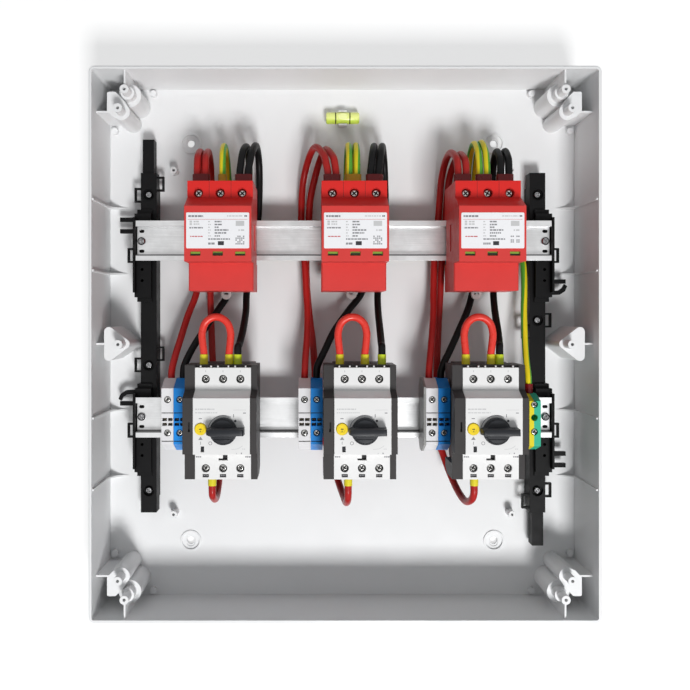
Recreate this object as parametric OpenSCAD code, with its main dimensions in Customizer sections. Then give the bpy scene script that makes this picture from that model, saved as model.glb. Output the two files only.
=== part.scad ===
// Wall box for a solar string combiner, shown open: two mounting rails on side supports,
// three surge arresters, three rotary string breakers, terminal blocks and the leads between them.
// Drawn in the wall frame: x to the right, y up and z out of the wall, then stood up by on_wall().

/* [Enclosure] */
// Outer width of the enclosure
box_w = 430; // [424:1:470]
// Outer height of the enclosure
box_h = 467; // [462:1:520]
// Depth from the wall face to the open rim
box_depth = 67; // [64:1:90]
// Thickness of the back and the side walls
wall = 3; // [2.4:0.1:3.6]
// Outer corner radius
corner_r = 5; // [4:0.5:9]
// Width of the step round the rim that the cover sits on
rim_step_w = 1; // [0.6:0.1:1.4]
// Depth of the step round the rim
rim_step_h = 2; // [1:0.5:4]
// Distance between the wall holes, sideways
hole_spacing_x = 277; // [265:1:285]
// Distance between the wall holes, upwards
hole_spacing_y = 363; // [350:1:370]
// Diameter of the wall holes
hole_d = 6.5; // [5:0.5:7]
// Diameter of the cover screw bosses at their tips
boss_tip_d = 7.6; // [6.6:0.2:8.4]
// Diameter of the screw holes in the cover bosses
boss_hole_d = 2.6; // [2:0.2:3]
// Thickness of the stiffening ribs
rib_t = 1.6; // [1:0.2:2.4]
// Foot of the curved gussets on the side walls
gusset_foot = 17; // [12:1:18]

/* [Level] */
// Diameter of the level vial
vial_d = 10.4; // [8:0.2:12]
// Length of the level vial
vial_len = 30; // [24:1:36]

/* [Rails] */
// Width of the mounting rails over the flanges
rail_w = 35; // [34.8:0.1:35.2]
// Depth of the mounting rails
rail_depth = 7.5; // [7.3:0.1:8]
// Sheet thickness of the mounting rails
rail_t = 1; // [0.8:0.1:1.2]
// Width of the rail channel, outside its webs
rail_channel_w = 27; // [26:0.5:27.5]
// Gap between a rail's end and the outer side of the enclosure
rail_end_gap = 33; // [30:1:36]
// Height of the flange front above the wall face
rail_front = 35; // [34:0.5:38]

/* [Rail supports] */
// Distance between the two carriers of a support
carrier_pitch = 154.8; // [152:0.2:158]
// Offset of the rail above the middle of its carrier
rail_offset = 12.4; // [11:0.2:14]
// Length of a carrier along the post
carrier_len = 82; // [78:1:86]
// Width of a carrier
carrier_w = 14.6; // [13:0.2:16]
// Width of the post
post_w = 14; // [12:0.5:15]
// Height of the post above the back of the enclosure
post_h = 18; // [14:0.5:19]
// Length of the post without its tail
post_len = 303; // [300:1:310]
// Width of the narrow tail
tail_w = 10; // [8:0.5:12]
// Length of the narrow tail
tail_len = 30; // [20:1:34]
// Distance of the post's centre line from the rail end
post_inset = 8.6; // [8:0.2:9]
// Distance of the rail screws from the rail end
rail_screw_inset = 4; // [4:0.2:5]

/* [Surge arresters] */
// Place of the first arrester, from the rail's left end
arrester_1_inset = 79; // [74:1:84]
// Place of the second arrester along the rail
arrester_2_x = 7; // [2:1:12]
// Place of the third arrester, from the rail's right end
arrester_3_inset = 65.4; // [62:0.2:70]
// Width of one pole of an arrester
pole_w = 17.9; // [17.5:0.1:18]
// Height of an arrester
arrester_h = 90; // [88:1:92]
// Height of the arrester's nose
arrester_nose_h = 44.4; // [43:0.2:46]
// Front of the nose above the rail
arrester_nose = 62; // [60:1:66]
// Front of the terminal shoulder above the rail
arrester_shoulder = 45; // [43:1:48]
// Front of the lower part above the rail
arrester_lower = 38.5; // [36:0.5:42]
// Width of the label on the nose
label_w = 50.3; // [46:0.1:51.5]
// Height of the label on the nose
label_h = 28.6; // [26:0.1:29]

/* [String breakers] */
// Place of the first breaker, from the rail's left end
breaker_1_inset = 83; // [81:0.5:84]
// Place of the second breaker along the rail
breaker_2_x = 12.3; // [11:0.1:13]
// Place of the third breaker, from the rail's right end
breaker_3_inset = 66.5; // [66:0.5:68]
// Width of the light front cover
face_w = 45; // [44:0.5:46]
// Width of the dark housing left of the cover
housing_left = 8.3; // [7:0.1:9]
// Width of the dark housing right of the cover
housing_right = 5; // [4:0.5:6]
// Thickness of the front cover
face_t = 3; // [2:0.2:4]
// Front of the breaker's terminal shoulders above the rail
breaker_shoulder = 60; // [58:1:62]
// Front of the breaker's nose above the rail
breaker_nose = 72; // [70:1:76]
// Distance between the breaker's terminals
breaker_pitch = 13.85; // [13.5:0.05:14.2]
// Diameter of the rotary handle's disc
handle_d = 21.6; // [20:0.2:23]
// Height of the rotary handle
handle_h = 12; // [9:0.5:14]
// Diameter of the handle's spindle
spindle_d = 7; // [5:0.5:8]
// Radial running clearance of the spindle and the dial
spindle_fit = 0.08; // [0.05:0.01:0.1]
// Diameter of the setting dial
dial_d = 9.6; // [8:0.2:10.4]

/* [Terminal blocks] */
// Place of the first pair of blocks, from the rail's left end
pair_1_inset = 37.9; // [36:0.1:39]
// Place of the second pair of blocks along the rail
pair_2_x = -28.9; // [-31:0.1:-28]
// Place of the third pair of blocks, from the rail's right end
pair_3_inset = 103.6; // [102:0.1:106]
// Width of one terminal block
block_w = 10.1; // [9:0.1:10.4]
// Height of one terminal block
block_h = 61.6; // [58:0.2:66]
// Front of the terminal blocks above the rail
block_front = 28; // [26:1:30]
// Middle of the terminal blocks above the rail's centre line
block_offset = 4.6; // [4:0.2:6]
// Thickness of the end plate
end_plate_t = 1.8; // [1.4:0.2:3]
// Place of the earth block, from the rail's right end
earth_block_inset = 22.2; // [21:0.2:24]
// Width of the earth block
earth_block_w = 9.6; // [8:0.2:11]
// Height of the earth block
earth_block_h = 48; // [44:1:52]
// Front of the earth block above the rail
earth_block_front = 28; // [26:1:32]

/* [Leads] */
// Outer diameter of the red and black leads
lead_d = 6.1; // [5:0.1:6.2]
// Outer diameter of the earth leads
earth_lead_d = 5.6; // [4:0.2:5.8]
// Wall of the collars on the arresters' leads
collar_wall = 0.8; // [0.5:0.1:1]
// Wall of the ferrules on the breakers' leads
ferrule_wall = 0.3; // [0.2:0.05:0.35]
// Length of the collars and ferrules outside the terminal
collar_len = 8; // [6:0.5:10]

/* [Fits] */
// Gap between fixed parts that sit together
seat_gap = 0.1; // [0.05:0.05:0.2]
// Gap round parts that slide
slide_gap = 0.4; // [0.3:0.05:0.5]
// Gap between a lead and its collar
lead_gap = 0.1; // [0.05:0.05:0.1]

/* [Hidden] */
$fn = 48;

// A cut runs this far past the face that it opens
past = 1;

light_grey = "#d9dadb";
black_plastic = "#1b1b1c";
zinc = "#c3c6c8";
arrester_red = "#d8232a";
dark_grey = "#4a4848";
off_white = "#e3e1dc";
steel = "#a9abad";

// Inside of the enclosure
inner_w = box_w - 2 * wall;
inner_h = box_h - 2 * wall;

// Cover bosses, measured in from the enclosure's outer corner
stepped_boss = [30, 19.5];
stepped_boss_d = [19.6, 11.6];
stepped_boss_top = [44, 53.5];
column_boss = [24.5, 35.3];
column_lobe_r = 7.2;
column_top = 52;
boss_tip_gap = 1;
boss_tip_top = box_depth - boss_tip_gap;
boss_hole_depth = 14;
side_boss_inset = 24.7;
side_tab_r = 4;
side_tab_reach = 5;

// Gussets on the side walls and how far up the wall their rib stands proud
gusset_rows = [122, 62, -62, -122];
gusset_proud = 1.4;

// Small posts and stops moulded on the back wall
post_hole_d = 2.4;
small_post_d = 6.5;
small_post_h = 12;
stop_d = 6;
stop_h = 5;
stops = [[box_w / 2 - 43, box_h / 2 - 7.5], [box_w / 2 - 8, box_h / 2 - 41.5]];
hole_ring_d = 19;
hole_ring_h = 0.8;
hole_recess_d = 15.6;
hole_recess = 0.6;
hole_oval = [7.6, 10.6];
hole_oval_depth = 0.5;

// Level vial and its clip
vial_y = box_h / 2 - 30.7;
vial_seat = 2.2;
clip_w = 7.6;
clip_t = 1.3;

// Rails
rail_rows = [carrier_pitch / 2 + rail_offset, -carrier_pitch / 2 + rail_offset];
rail_len = box_w - 2 * rail_end_gap;
rail_back = rail_front - rail_depth;
rail_screw_x = rail_len / 2 - rail_screw_inset;
rail_slot = [4.6, 2.8];
rail_slot_offset = 8.8;
rail_hole_d = 4.2;

// Rail supports, drawn for the left side; the right one is the same part turned half round
post_x = -(rail_len / 2 - post_inset);
small_post = [rail_len / 2 - 29.6, 155];
post_screws = [132, -20, -132];
post_screw_hole_d = 3.4;
post_bore_d = 3;
post_stud_d = 9;
post_stud_h = 4;
carrier_top = rail_back - seat_gap;
carrier_x = post_x - 4;
carrier_fence = 1.8;
carrier_holes = [rail_offset, rail_offset + 9.8];
pilot_d = 2.6;
tie_loop = [6, 13, 1.6];
tie_loop_h = 4;
prong_len = 16;
prong_t = 3.8;
prong_h = 4;
prong_level = 12;

// Surge arresters
poles = 3;
arrester_w = poles * pole_w;
arrester_1_x = arrester_1_inset - rail_len / 2;
arrester_3_x = rail_len / 2 - arrester_3_inset;
arrester_rows = [arrester_1_x, arrester_2_x, arrester_3_x];
pole_x = [for (i = [0:poles - 1]) (i - (poles - 1) / 2) * pole_w];
device_back = -7;
nose_slope_y = 31;
screw_row_y = 35;
screw_well_d = 7.4;
screw_well = 6;
terminal_entry = [13.4, 6.6, 12];
terminal_entry_z = 27;
label_t = 0.3;
label_y = 2.4;
window = [8.2, 3.4, 3];
window_y = -16;
side_recess = [17, 22.5, 0.6];
side_recess_z = 19.5;
lower_edge = 1;
flag_t = 1;

// Rail latches under the devices
latch_w = 8.8;
latch_t = 3.4;
latch_z = -5.2;
latch_hook = 3;
latch_travel = 3.5;
latch_tip = 6.5;

// String breakers
breaker_rows = [breaker_1_inset - rail_len / 2, breaker_2_x, rail_len / 2 - breaker_3_inset];
housing_top = 49.5;
face_top = 47.5;
breaker_bottom = -42;
breaker_nose_top = 24.2;
breaker_slope_y = 29.5;
breaker_nose_bottom = -20.1;
breaker_terminals = [-breaker_pitch, 0, breaker_pitch];
breaker_screw_rows = [38.4, -33.1];
breaker_screw_d = 6;
breaker_entry_z = 45;
breaker_cell = [5.8, 8];
cell_offset = 3.4;
wide_from = 25;
block_pocket = [-30, 37, 56];
breaker_entry = 13;
handle_x = 1.7;
handle_y = -1.5;
spindle_len = 12;
grip_w = 7.6;
grip_reach = [12.9, 16.8];
grip_base = 4.6;
dial_x = -16.3;
dial_y = 0;
dial_h = 1.2;
test_key = [1.9, 3.7, 4];
test_key_pos = [-14.9, -15.9];
lock_step = [[-3.6, -2.2], [3.6, -2.2], [3.6, 2.2], [-0.1, 2.2], [-0.1, -0.6], [-3.6, -0.6]];
lock_y = -24.6;
rating_slot = [5, 2.6];
rating_y = -39;
vent_slot = [1.4, 7.6];
tooth = [1.1, 1.6];
tooth_x = 4.2;

// Terminal blocks: a grey and a blue one stand side by side left of each breaker
pair_3_x = rail_len / 2 - pair_3_inset;
pair_rows = [pair_1_inset - rail_len / 2, pair_2_x, pair_3_x];
earth_block_x = rail_len / 2 - earth_block_inset;
block_side = block_w / 2 + seat_gap;
block_bevel = [7.3, 15];
block_screw_rows = [14, -14];
block_screw_d = 5.2;
block_entry_d = 7.2;
block_entry_z = 8;
block_entry = 12;
bridge_slot = [4.2, 2.6, 8];
bridge_slot_y = [-2.8, -6.8];
block_line = [2.8, -21];
earth_bevel = [5, 15];
earth_offset = -1.6;
earth_screw_rows = [14.5, -8.5];
earth_hole_y = 3.4;
earth_entry_x = -0.8;
earth_entry_z = 10;

// Sides and steps of the leads' sections
lead_sides = 8;
lead_steps = 2;

// Leads, as points on their centre lines from one end to the other
red_routes = [
    [[[-124.3, 137, 62], [-124.3, 143.5, 62], [-124.4, 151.5, 60.6], [-124.6, 160, 55],
        [-124.6, 166.5, 38], [-125, 160, 21],
        [-125.5, 143, 14], [-127, 115, 13.5], [-129, 90, 13.5], [-130.5, 65, 14], [-131.3, 45, 17],
        [-138, 24, 24], [-142.5, 6, 32], [-147, -12, 39], [-149.1, -24, 42.6], [-149.25, -37, 43]],
     [[-117.5, 137, 62], [-117.5, 143.5, 62], [-117.6, 151.5, 60.6], [-117.9, 160, 55],
        [-118, 166.5, 38], [-118.3, 160, 21],
        [-118.5, 143, 14], [-119, 115, 13.5], [-119.2, 90, 13.5], [-119.3, 65, 13.5],
        [-119.2, 40, 13.5],
        [-118.3, 10, 13.5], [-117, -20, 13.5], [-114.5, -50, 13.5], [-112, -80, 14],
        [-110.6, -104, 16.5],
        [-110, -120, 26], [-109.8, -129.5, 42], [-109.6, -131, 58], [-109.5, -126, 73],
        [-109.45, -121.8, 79.2], [-109.45, -115.8, 80], [-109.45, -109, 80]]],
    [[[-14.3, 137, 62], [-14.3, 143.5, 62], [-15.6, 151.5, 60.6], [-18, 161, 56], [-25, 170, 42],
        [-31, 162, 26],
        [-36, 142, 15.5], [-37.4, 113, 14], [-36.5, 90, 17], [-34.3, 72, 18.6], [-32.8, 45, 20],
        [-31.8, 28, 24], [-32, 8, 31], [-33.4, -12, 39], [-34, -24, 42.6], [-34.05, -37, 43]],
     [[-7.5, 137, 62], [-7.5, 143.5, 62], [-8.4, 151.5, 60.6], [-10, 159, 57], [-15.8, 168, 42],
        [-20.5, 162, 27],
        [-25, 148, 18], [-29, 130, 14.5], [-30.4, 113, 14], [-31.5, 90, 12.4], [-33, 72, 11.6],
        [-32, 45, 12], [-29.5, 20, 13], [-27, 0, 14], [-25.5, -20, 14], [-24, -45, 14], [-20, -75, 14],
        [-12, -100, 15], [-7.5, -113, 19], [-3.5, -125, 29], [-0.5, -132, 42], [1.2, -134, 58],
        [1.8, -128, 73], [1.85, -121.8, 79.2], [1.85, -115.8, 80], [1.85, -109, 80]]],
    [[[95.3, 137, 62], [95.3, 143.5, 62], [95, 151.5, 60.6], [94.5, 159, 55], [92.5, 165.5, 40],
        [90.5, 160, 24],
        [88.6, 146, 15.5], [87.2, 128, 14], [86.1, 112, 14], [84, 90, 14.5], [82, 72, 16],
        [81, 45, 18], [80.3, 29, 23], [78, 8, 31], [75, -12, 39], [73.5, -24, 42.6], [73.25, -37, 43]],
     [[102.1, 137, 62], [102.1, 143.5, 62], [102, 151.5, 60.6], [101.7, 158, 55], [100.5, 164, 40],
        [98, 158, 24],
        [95.6, 146, 15.5], [93.8, 128, 14], [92.8, 112, 14], [91, 90, 14], [89, 72, 14], [87.8, 45, 14],
        [86.5, 20, 13.5], [85.4, -5, 13.5], [84.5, -33, 13.5], [83.5, -60, 13.5], [85, -84, 14],
        [90.5, -102, 16], [95.5, -118, 26], [99.5, -129, 42], [102.6, -133, 58], [104.5, -128, 73],
        [105.05, -121.8, 79.2], [105.05, -115.8, 80], [105.05, -109, 80]]]];
black_routes = [
    [[[-88.5, 137, 62], [-88.5, 143.5, 62], [-87.8, 151.5, 60.6], [-86.5, 164, 54], [-84.5, 171, 38],
        [-84, 163, 21],
        [-84.5, 143, 14], [-88, 115, 14], [-94, 90, 14], [-99, 65, 15], [-102.4, 45, 18],
        [-110.5, 30, 24], [-121, 14, 31], [-131, -3, 38], [-137.5, -17, 42], [-138.95, -25, 43],
        [-138.95, -37, 43]],
     [[-81.7, 137, 62], [-81.7, 143.5, 62], [-80.6, 151.5, 60.6], [-78.5, 164, 54], [-76.4, 172, 38],
        [-75.2, 163, 21],
        [-75, 143, 14], [-76, 115, 14], [-79, 90, 14], [-83, 65, 15], [-86, 45, 20], [-85.6, 28, 34],
        [-86.3, 12, 56], [-87.7, 1, 73], [-88.4, -1.5, 78.9], [-88.55, -6.8, 80], [-88.55, -13.4, 80]]],
    [[[21.5, 137, 62], [21.5, 143.5, 62], [22.4, 151.5, 60.6], [24, 163, 55], [26.5, 171.5, 38],
        [28, 163, 21],
        [28.5, 146, 14], [27.5, 115, 14], [25, 90, 14], [21, 65, 15], [17, 45, 18], [5, 29, 24],
        [-8, 11, 31], [-17, -7, 38], [-22.8, -19, 42.3], [-23.75, -27, 43], [-23.75, -37, 43]],
     [[28.3, 137, 62], [28.3, 143.5, 62], [29.2, 151.5, 60.6], [31, 163, 55], [33.6, 171.5, 38],
        [36.5, 163, 21],
        [38, 146, 14], [38.5, 115, 14], [37, 90, 14], [34, 65, 15], [31, 45, 20], [30.2, 28, 34],
        [30, 12, 56], [29.7, 1, 73], [29.6, -1.5, 78.9], [29.55, -6.8, 80], [29.55, -13.4, 80]]],
    [[[131.1, 137, 62], [131.1, 143.5, 62], [131.3, 151.5, 60.6], [131.8, 159, 55],
        [132.6, 166.5, 40], [133.6, 160, 24],
        [134.2, 146, 15.5], [132, 120, 14], [127, 95, 14], [121, 70, 15], [116, 45, 18],
        [110.5, 29, 24], [101, 10, 31], [92, -7, 38], [85.5, -19, 42.3], [83.6, -27, 43],
        [83.55, -37, 43]],
     [[137.9, 137, 62], [137.9, 143.5, 62], [138.2, 151.5, 60.6], [138.8, 159, 55],
        [139.6, 166.8, 40], [140.5, 160, 24],
        [141, 146, 15.5], [140.5, 120, 14], [138.5, 95, 14], [136, 70, 15], [134.3, 45, 20],
        [132.5, 28, 34], [130, 12, 56], [127.4, 1, 73], [126.2, -1.5, 78.9], [125.95, -6.8, 80],
        [125.95, -13.4, 80]]]];
earth_routes = [
    [[-103, 137, 62], [-103, 143.5, 62], [-103.2, 151.5, 60.6], [-103.6, 164, 54],
        [-103.9, 171.5, 38], [-103.6, 164, 21],
        [-103, 146, 12], [-102, 125, 8], [-97, 105, 6.4], [-84, 92, 6.4], [-60, 88, 6.4],
        [-25, 88, 6.4], [-8, 93, 6.4], [0, 106, 6.4], [3, 125, 8], [3.4, 146, 12], [3.6, 164, 21],
        [3.8, 172, 38], [3.8, 164, 54], [3.8, 151.5, 60.6], [3.8, 143.5, 62], [3.8, 137, 62]],
    [[10.2, 137, 62], [10.2, 143.5, 62], [10.2, 151.5, 60.6], [10.3, 164, 54], [10.4, 172, 38],
        [10.6, 164, 21],
        [10.8, 146, 12], [12, 125, 8], [17, 105, 6.4], [30, 92, 6.4], [55, 88, 6.4],
        [80, 88, 6.4], [97, 93, 6.4], [108, 106, 6.4], [112.4, 125, 8], [112.8, 146, 12],
        [113, 165, 21], [113.2, 173.5, 38], [113.4, 165, 54], [113.4, 151.5, 60.6],
        [113.4, 143.5, 62], [113.4, 137, 62]],
    [[119.8, 137, 62], [119.8, 143.5, 62], [119.7, 151.5, 60.6], [119.6, 165, 54],
        [119.2, 174.5, 38], [119.2, 165, 21],
        [119.3, 146, 12], [120, 128, 8.4], [124, 114, 6.4], [133, 103, 6.4], [146, 95, 6.4],
        [155, 88, 8], [160.5, 79, 12], [162.2, 68, 16], [161.6, 47, 21], [160, 27, 26], [159, 3, 33],
        [158.4, -14, 40], [158.7, -26, 44.5], [159, -33, 45], [159, -39, 45]]];

// Jumper between the first two terminals of a breaker, from the breaker's centre line
jumper_route = [[-17.25, -13.4, 80], [-17.25, -6.8, 80], [-18.2, 2, 80.5], [-18.6, 10, 81],
    [-16.4, 17.5, 81.5], [-11.8, 21.8, 82], [-6.925, 23, 82], [-2.05, 21.8, 82], [2.55, 17.5, 81.5],
    [4.7, 10, 81], [4.3, 2, 80.5], [3.4, -6.8, 80], [3.4, -13.4, 80]];

// Cells of the breakers that hold a black lead's ferrule: -1 is left of the screw, 1 is right
black_cells = [-1, 1, -1];

// Stands the wall frame up: x to the right, y up and z out of the wall become X, Z and -Y
module on_wall() {
    rotate([90, 0, 0]) children();
}

// Places a device on a rail: its origin is on the rail's centre line, level with the flange front
module on_rail(x, row) {
    translate([x, rail_rows[row], rail_front]) children();
}

function unit(v) = v / norm(v);

// Arc that rounds the corner at b between its neighbours a and c
function corner_arc(a, b, c, r, steps) =
    let (
        u = unit(a - b),
        v = unit(c - b),
        half = acos(u * v) / 2,
        centre = b + unit(u + v) * r / sin(half),
        from = b + u * r / tan(half) - centre,
        to = b + v * r / tan(half) - centre,
        start = atan2(from.y, from.x),
        turn = (atan2(to.y, to.x) - start + 540) % 360 - 180
    )
    [for (i = [0:steps]) centre + r * [cos(start + turn * i / steps), sin(start + turn * i / steps)]];

// Outline with every corner rounded by the same radius
function rounded(points, r, steps = 4) =
    let (n = len(points))
    [for (i = [0:n - 1])
        each corner_arc(points[(i + n - 1) % n], points[i], points[(i + 1) % n], r, steps)];

module rounded_rect(w, h, r) {
    square([w - 2 * r, h], center = true);
    square([w, h - 2 * r], center = true);
    for (x = [-1, 1], y = [-1, 1]) {
        translate([x * (w / 2 - r), y * (h / 2 - r)]) circle(r);
    }
}

// Flat bar with half-round ends, its length along x
module stadium(w, h) {
    if (w > h) {
        square([w - h, h], center = true);
    }
    for (x = w > h ? [-1, 1] : [0]) {
        translate([x * (w - h) / 2, 0]) circle(h / 2);
    }
}

// Block centred on x and y that stands on its base
module block(w, h, t) {
    translate([-w / 2, -h / 2, 0]) cube([w, h, t]);
}

// Extrudes an outline given in y and z along x, centred
module along_x(w) {
    translate([-w / 2, 0, 0]) rotate([90, 0, 90]) linear_extrude(w) children();
}

// Enclosure
module cover_boss_column() {
    x = box_w / 2 - stepped_boss.x;
    y = box_h / 2 - stepped_boss.y;
    translate([x, y, 0]) {
        cylinder(h = stepped_boss_top[0], d = stepped_boss_d[0]);
        cylinder(h = stepped_boss_top[1], d = stepped_boss_d[1]);
        cylinder(h = boss_tip_top, d = boss_tip_d);
    }
    translate([x - rib_t / 2, y, 0]) cube([rib_t, box_h / 2 - wall / 2 - y, boss_tip_top - 2]);
}

module cover_boss_tab() {
    x = box_w / 2 - column_boss.x;
    y = box_h / 2 - column_boss.y;
    linear_extrude(column_top) {
        translate([x, y]) circle(column_lobe_r);
        translate([x, y]) polygon(rounded([[-6, 3.4], [-2, -6.8], [6.5, -5], [12.3, 1], [12.3, 17.2],
            [5, 17.2], [-2, 10]], 1.4));
    }
    translate([x, y, 0]) cylinder(h = boss_tip_top, d = boss_tip_d);
    translate([x, y - rib_t / 2, 0]) cube([box_w / 2 - wall / 2 - x, rib_t, column_top]);
}

module side_boss() {
    x = box_w / 2 - side_boss_inset;
    linear_extrude(column_top) {
        translate([x, 0]) polygon(rounded([[-9.6, 0], [15, -18.6], [15, 18.6]], side_tab_r));
    }
    translate([x, 0, 0]) cylinder(h = boss_tip_top, d = boss_tip_d);
    translate([x, -rib_t / 2, 0]) cube([box_w / 2 - wall / 2 - x, rib_t, column_top]);
}

// Rib up the side wall that opens into a curved gusset at the back wall
module gusset() {
    translate([inner_w / 2, rib_t / 2, wall]) rotate([90, 0, 0]) linear_extrude(rib_t) difference() {
        translate([-gusset_foot, -wall / 2]) square([gusset_foot + wall / 2, box_depth - wall / 2 - 2]);
        translate([-gusset_foot - gusset_proud, gusset_foot]) circle(gusset_foot);
        translate([-gusset_foot - past, gusset_foot])
            square([gusset_foot + past - gusset_proud, box_depth]);
        translate([-gusset_foot - gusset_proud - past, -wall])
            square([gusset_proud + past, gusset_foot + wall]);
    }
}

module wall_hole_ring() {
    translate([0, 0, wall / 2]) cylinder(h = wall / 2 + hole_ring_h, d = hole_ring_d);
}

module wall_hole_cut() {
    translate([0, 0, wall - hole_recess]) cylinder(h = wall, d = hole_recess_d);
    translate([0, 0, wall - hole_recess - hole_oval_depth]) linear_extrude(wall)
        rotate(90) stadium(hole_oval.y, hole_oval.x);
    translate([0, 0, -past]) cylinder(h = wall + 2 * past, d = hole_d);
}

module four_ways(x, y) {
    for (sx = [-1, 1], sy = [-1, 1]) {
        translate([sx * x, sy * y, 0]) children();
    }
}

module four_mirrored() {
    for (sx = [0, 1], sy = [0, 1]) {
        mirror([sx, 0, 0]) mirror([0, sy, 0]) children();
    }
}

module enclosure_shell() {
    difference() {
        union() {
            linear_extrude(box_depth - rim_step_h) rounded_rect(box_w, box_h, corner_r);
            linear_extrude(box_depth)
                rounded_rect(box_w - 2 * rim_step_w, box_h - 2 * rim_step_w, corner_r - rim_step_w);
        }
        translate([0, 0, wall]) linear_extrude(box_depth)
            rounded_rect(inner_w, inner_h, max(corner_r - wall, 1));
    }
}

module back_wall_posts() {
    four_ways(small_post.x, small_post.y) cylinder(h = wall + small_post_h, d = small_post_d);
    for (s = stops) {
        four_ways(s.x, s.y) cylinder(h = wall + stop_h, d = stop_d);
    }
    four_ways(hole_spacing_x / 2, hole_spacing_y / 2) wall_hole_ring();
    for (side = [-1, 1], y = post_screws) {
        translate([side * post_x, side * y, 0]) cylinder(h = wall + post_stud_h, d = post_stud_d);
    }
    translate([0, vial_y, 0]) {
        block(vial_len - 4, vial_d * 0.6, wall + vial_seat);
        for (side = [-1, 1]) {
            translate([0, side * (vial_d / 2 + seat_gap + clip_t / 2), 0])
                block(clip_w, clip_t, wall + vial_seat + vial_d * 0.7);
        }
    }
}

module enclosure_base() on_wall() color(light_grey) {
    difference() {
        union() {
            enclosure_shell();
            four_mirrored() {
                cover_boss_column();
                cover_boss_tab();
            }
            for (side = [0, 1]) {
                mirror([side, 0, 0]) {
                    side_boss();
                    for (y = gusset_rows) {
                        translate([0, y, 0]) gusset();
                    }
                }
            }
            back_wall_posts();
        }
        four_ways(hole_spacing_x / 2, hole_spacing_y / 2) wall_hole_cut();
        four_ways(box_w / 2 - stepped_boss.x, box_h / 2 - stepped_boss.y)
            translate([0, 0, boss_tip_top - boss_hole_depth]) cylinder(h = box_depth, d = boss_hole_d);
        four_ways(box_w / 2 - column_boss.x, box_h / 2 - column_boss.y)
            translate([0, 0, boss_tip_top - boss_hole_depth]) cylinder(h = box_depth, d = boss_hole_d);
        for (side = [-1, 1]) {
            translate([side * (box_w / 2 - side_boss_inset), 0, boss_tip_top - boss_hole_depth])
                cylinder(h = box_depth, d = boss_hole_d);
            for (y = post_screws) {
                translate([side * post_x, side * y, 1]) cylinder(h = box_depth, d = post_bore_d);
            }
        }
        four_ways(small_post.x, small_post.y)
            translate([0, 0, wall + 2]) cylinder(h = small_post_h, d = post_hole_d);
    }
}

module level_vial() on_wall() color("#cfe23c") {
    translate([0, vial_y, wall + vial_seat + vial_d / 2]) rotate([0, 90, 0]) {
        translate([0, 0, -vial_len / 2 + vial_d / 4]) cylinder(h = vial_len - vial_d / 2, d = vial_d);
        for (end = [-1, 1]) {
            translate([0, 0, end * (vial_len / 2 - vial_d / 4)])
                rotate([end > 0 ? 0 : 180, 0, 0]) cylinder(h = vial_d / 4, d1 = vial_d, d2 = vial_d * 0.8);
        }
    }
}

// Rails
module rail_profile() {
    web = rail_channel_w / 2;
    flange = rail_w / 2;
    difference() {
        union() {
            translate([-web, -rail_depth]) square([2 * web, rail_depth]);
            translate([-flange, -rail_t]) square([2 * flange, rail_t]);
        }
        translate([-web + rail_t, -rail_depth + rail_t])
            square([2 * (web - rail_t), rail_depth + past]);
    }
}

module rail(row) on_wall() color(zinc) {
    difference() {
        on_rail(0, row) along_x(rail_len) rail_profile();
        for (side = [-1, 1]) {
            translate([side * rail_screw_x, rail_rows[row], rail_back - past]) {
                cylinder(h = rail_depth, d = rail_hole_d);
                for (up = [-1, 1]) {
                    translate([0, up * rail_slot_offset, 0]) linear_extrude(rail_depth)
                        stadium(rail_slot.x, rail_slot.y);
                }
            }
        }
    }
}

// Pan-head screw with a cross slot: the head stands on z = 0 and the shank goes down
module pan_screw(head_d, head_h, shank_d, shank_len) {
    difference() {
        union() {
            cylinder(h = head_h * 0.6, d = head_d);
            translate([0, 0, head_h * 0.6]) cylinder(h = head_h * 0.4, d1 = head_d, d2 = head_d * 0.7);
            translate([0, 0, -shank_len]) cylinder(h = shank_len + head_h / 2, d = shank_d);
        }
        for (turn = [45, 135]) {
            rotate(turn) translate([0, 0, head_h * 0.45])
                block(head_d * 0.6, head_d * 0.14, head_h);
        }
    }
}

module rail_screws() on_wall() color(steel) {
    for (row = [0, 1], side = [-1, 1]) {
        translate([side * rail_screw_x, rail_rows[row], rail_back + rail_t])
            pan_screw(7, 2.4, pilot_d - 0.2, rail_t + wall + 3);
    }
}

// Rail supports
module support_loop(x, y, z) {
    side = x < post_x ? -1 : 1;
    translate([x + side * tie_loop.x / 2, y, z]) linear_extrude(tie_loop_h) difference() {
        square([tie_loop.x + 0.4, tie_loop.y], center = true);
        translate([-side * tie_loop[2] / 2, 0])
            square([tie_loop.x + 0.4 - tie_loop[2], tie_loop.y - 2 * tie_loop[2]], center = true);
    }
}

// Arm of a support that ends straight or bends over towards its neighbour
module prong(y, bent) {
    x0 = carrier_x - carrier_w / 2 + 0.5;
    straight = [[0, prong_t / 2], [0, -prong_t / 2], [-prong_len, -prong_t / 2], [-prong_len, prong_t / 2]];
    hook = [[0, prong_t / 2], [0, -prong_t / 2], [-10, -prong_t / 2 - 0.4], [-13.5, -prong_t / 2 - 3],
        [-15, -8], [-prong_len - 1.4, -6.2], [-15.4, -1.6], [-10.6, prong_t / 2 - 0.4]];
    translate([x0, y, prong_level]) linear_extrude(prong_h) polygon(bent ? hook : straight);
}

module carrier(bent) {
    translate([carrier_x, 0, 0]) {
        translate([0, 0, wall + 4]) block(carrier_w, carrier_len - 8, carrier_top - wall - 4);
        translate([0.8, 0, wall + 4]) block(carrier_w - 1.6, carrier_len, carrier_top - wall - 8);
        translate([carrier_w / 2 + 1.4, 0, wall + 4]) block(3, carrier_len - 36, 6);
        translate([-carrier_w / 2 + carrier_fence / 2, 0, wall + 4])
            block(carrier_fence, carrier_len - 16, rail_front - wall - 4.5);
    }
    support_loop(carrier_x - carrier_w / 2, 0, carrier_top - tie_loop_h);
    prong(33, bent);
    prong(22.6, false);
}

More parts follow.
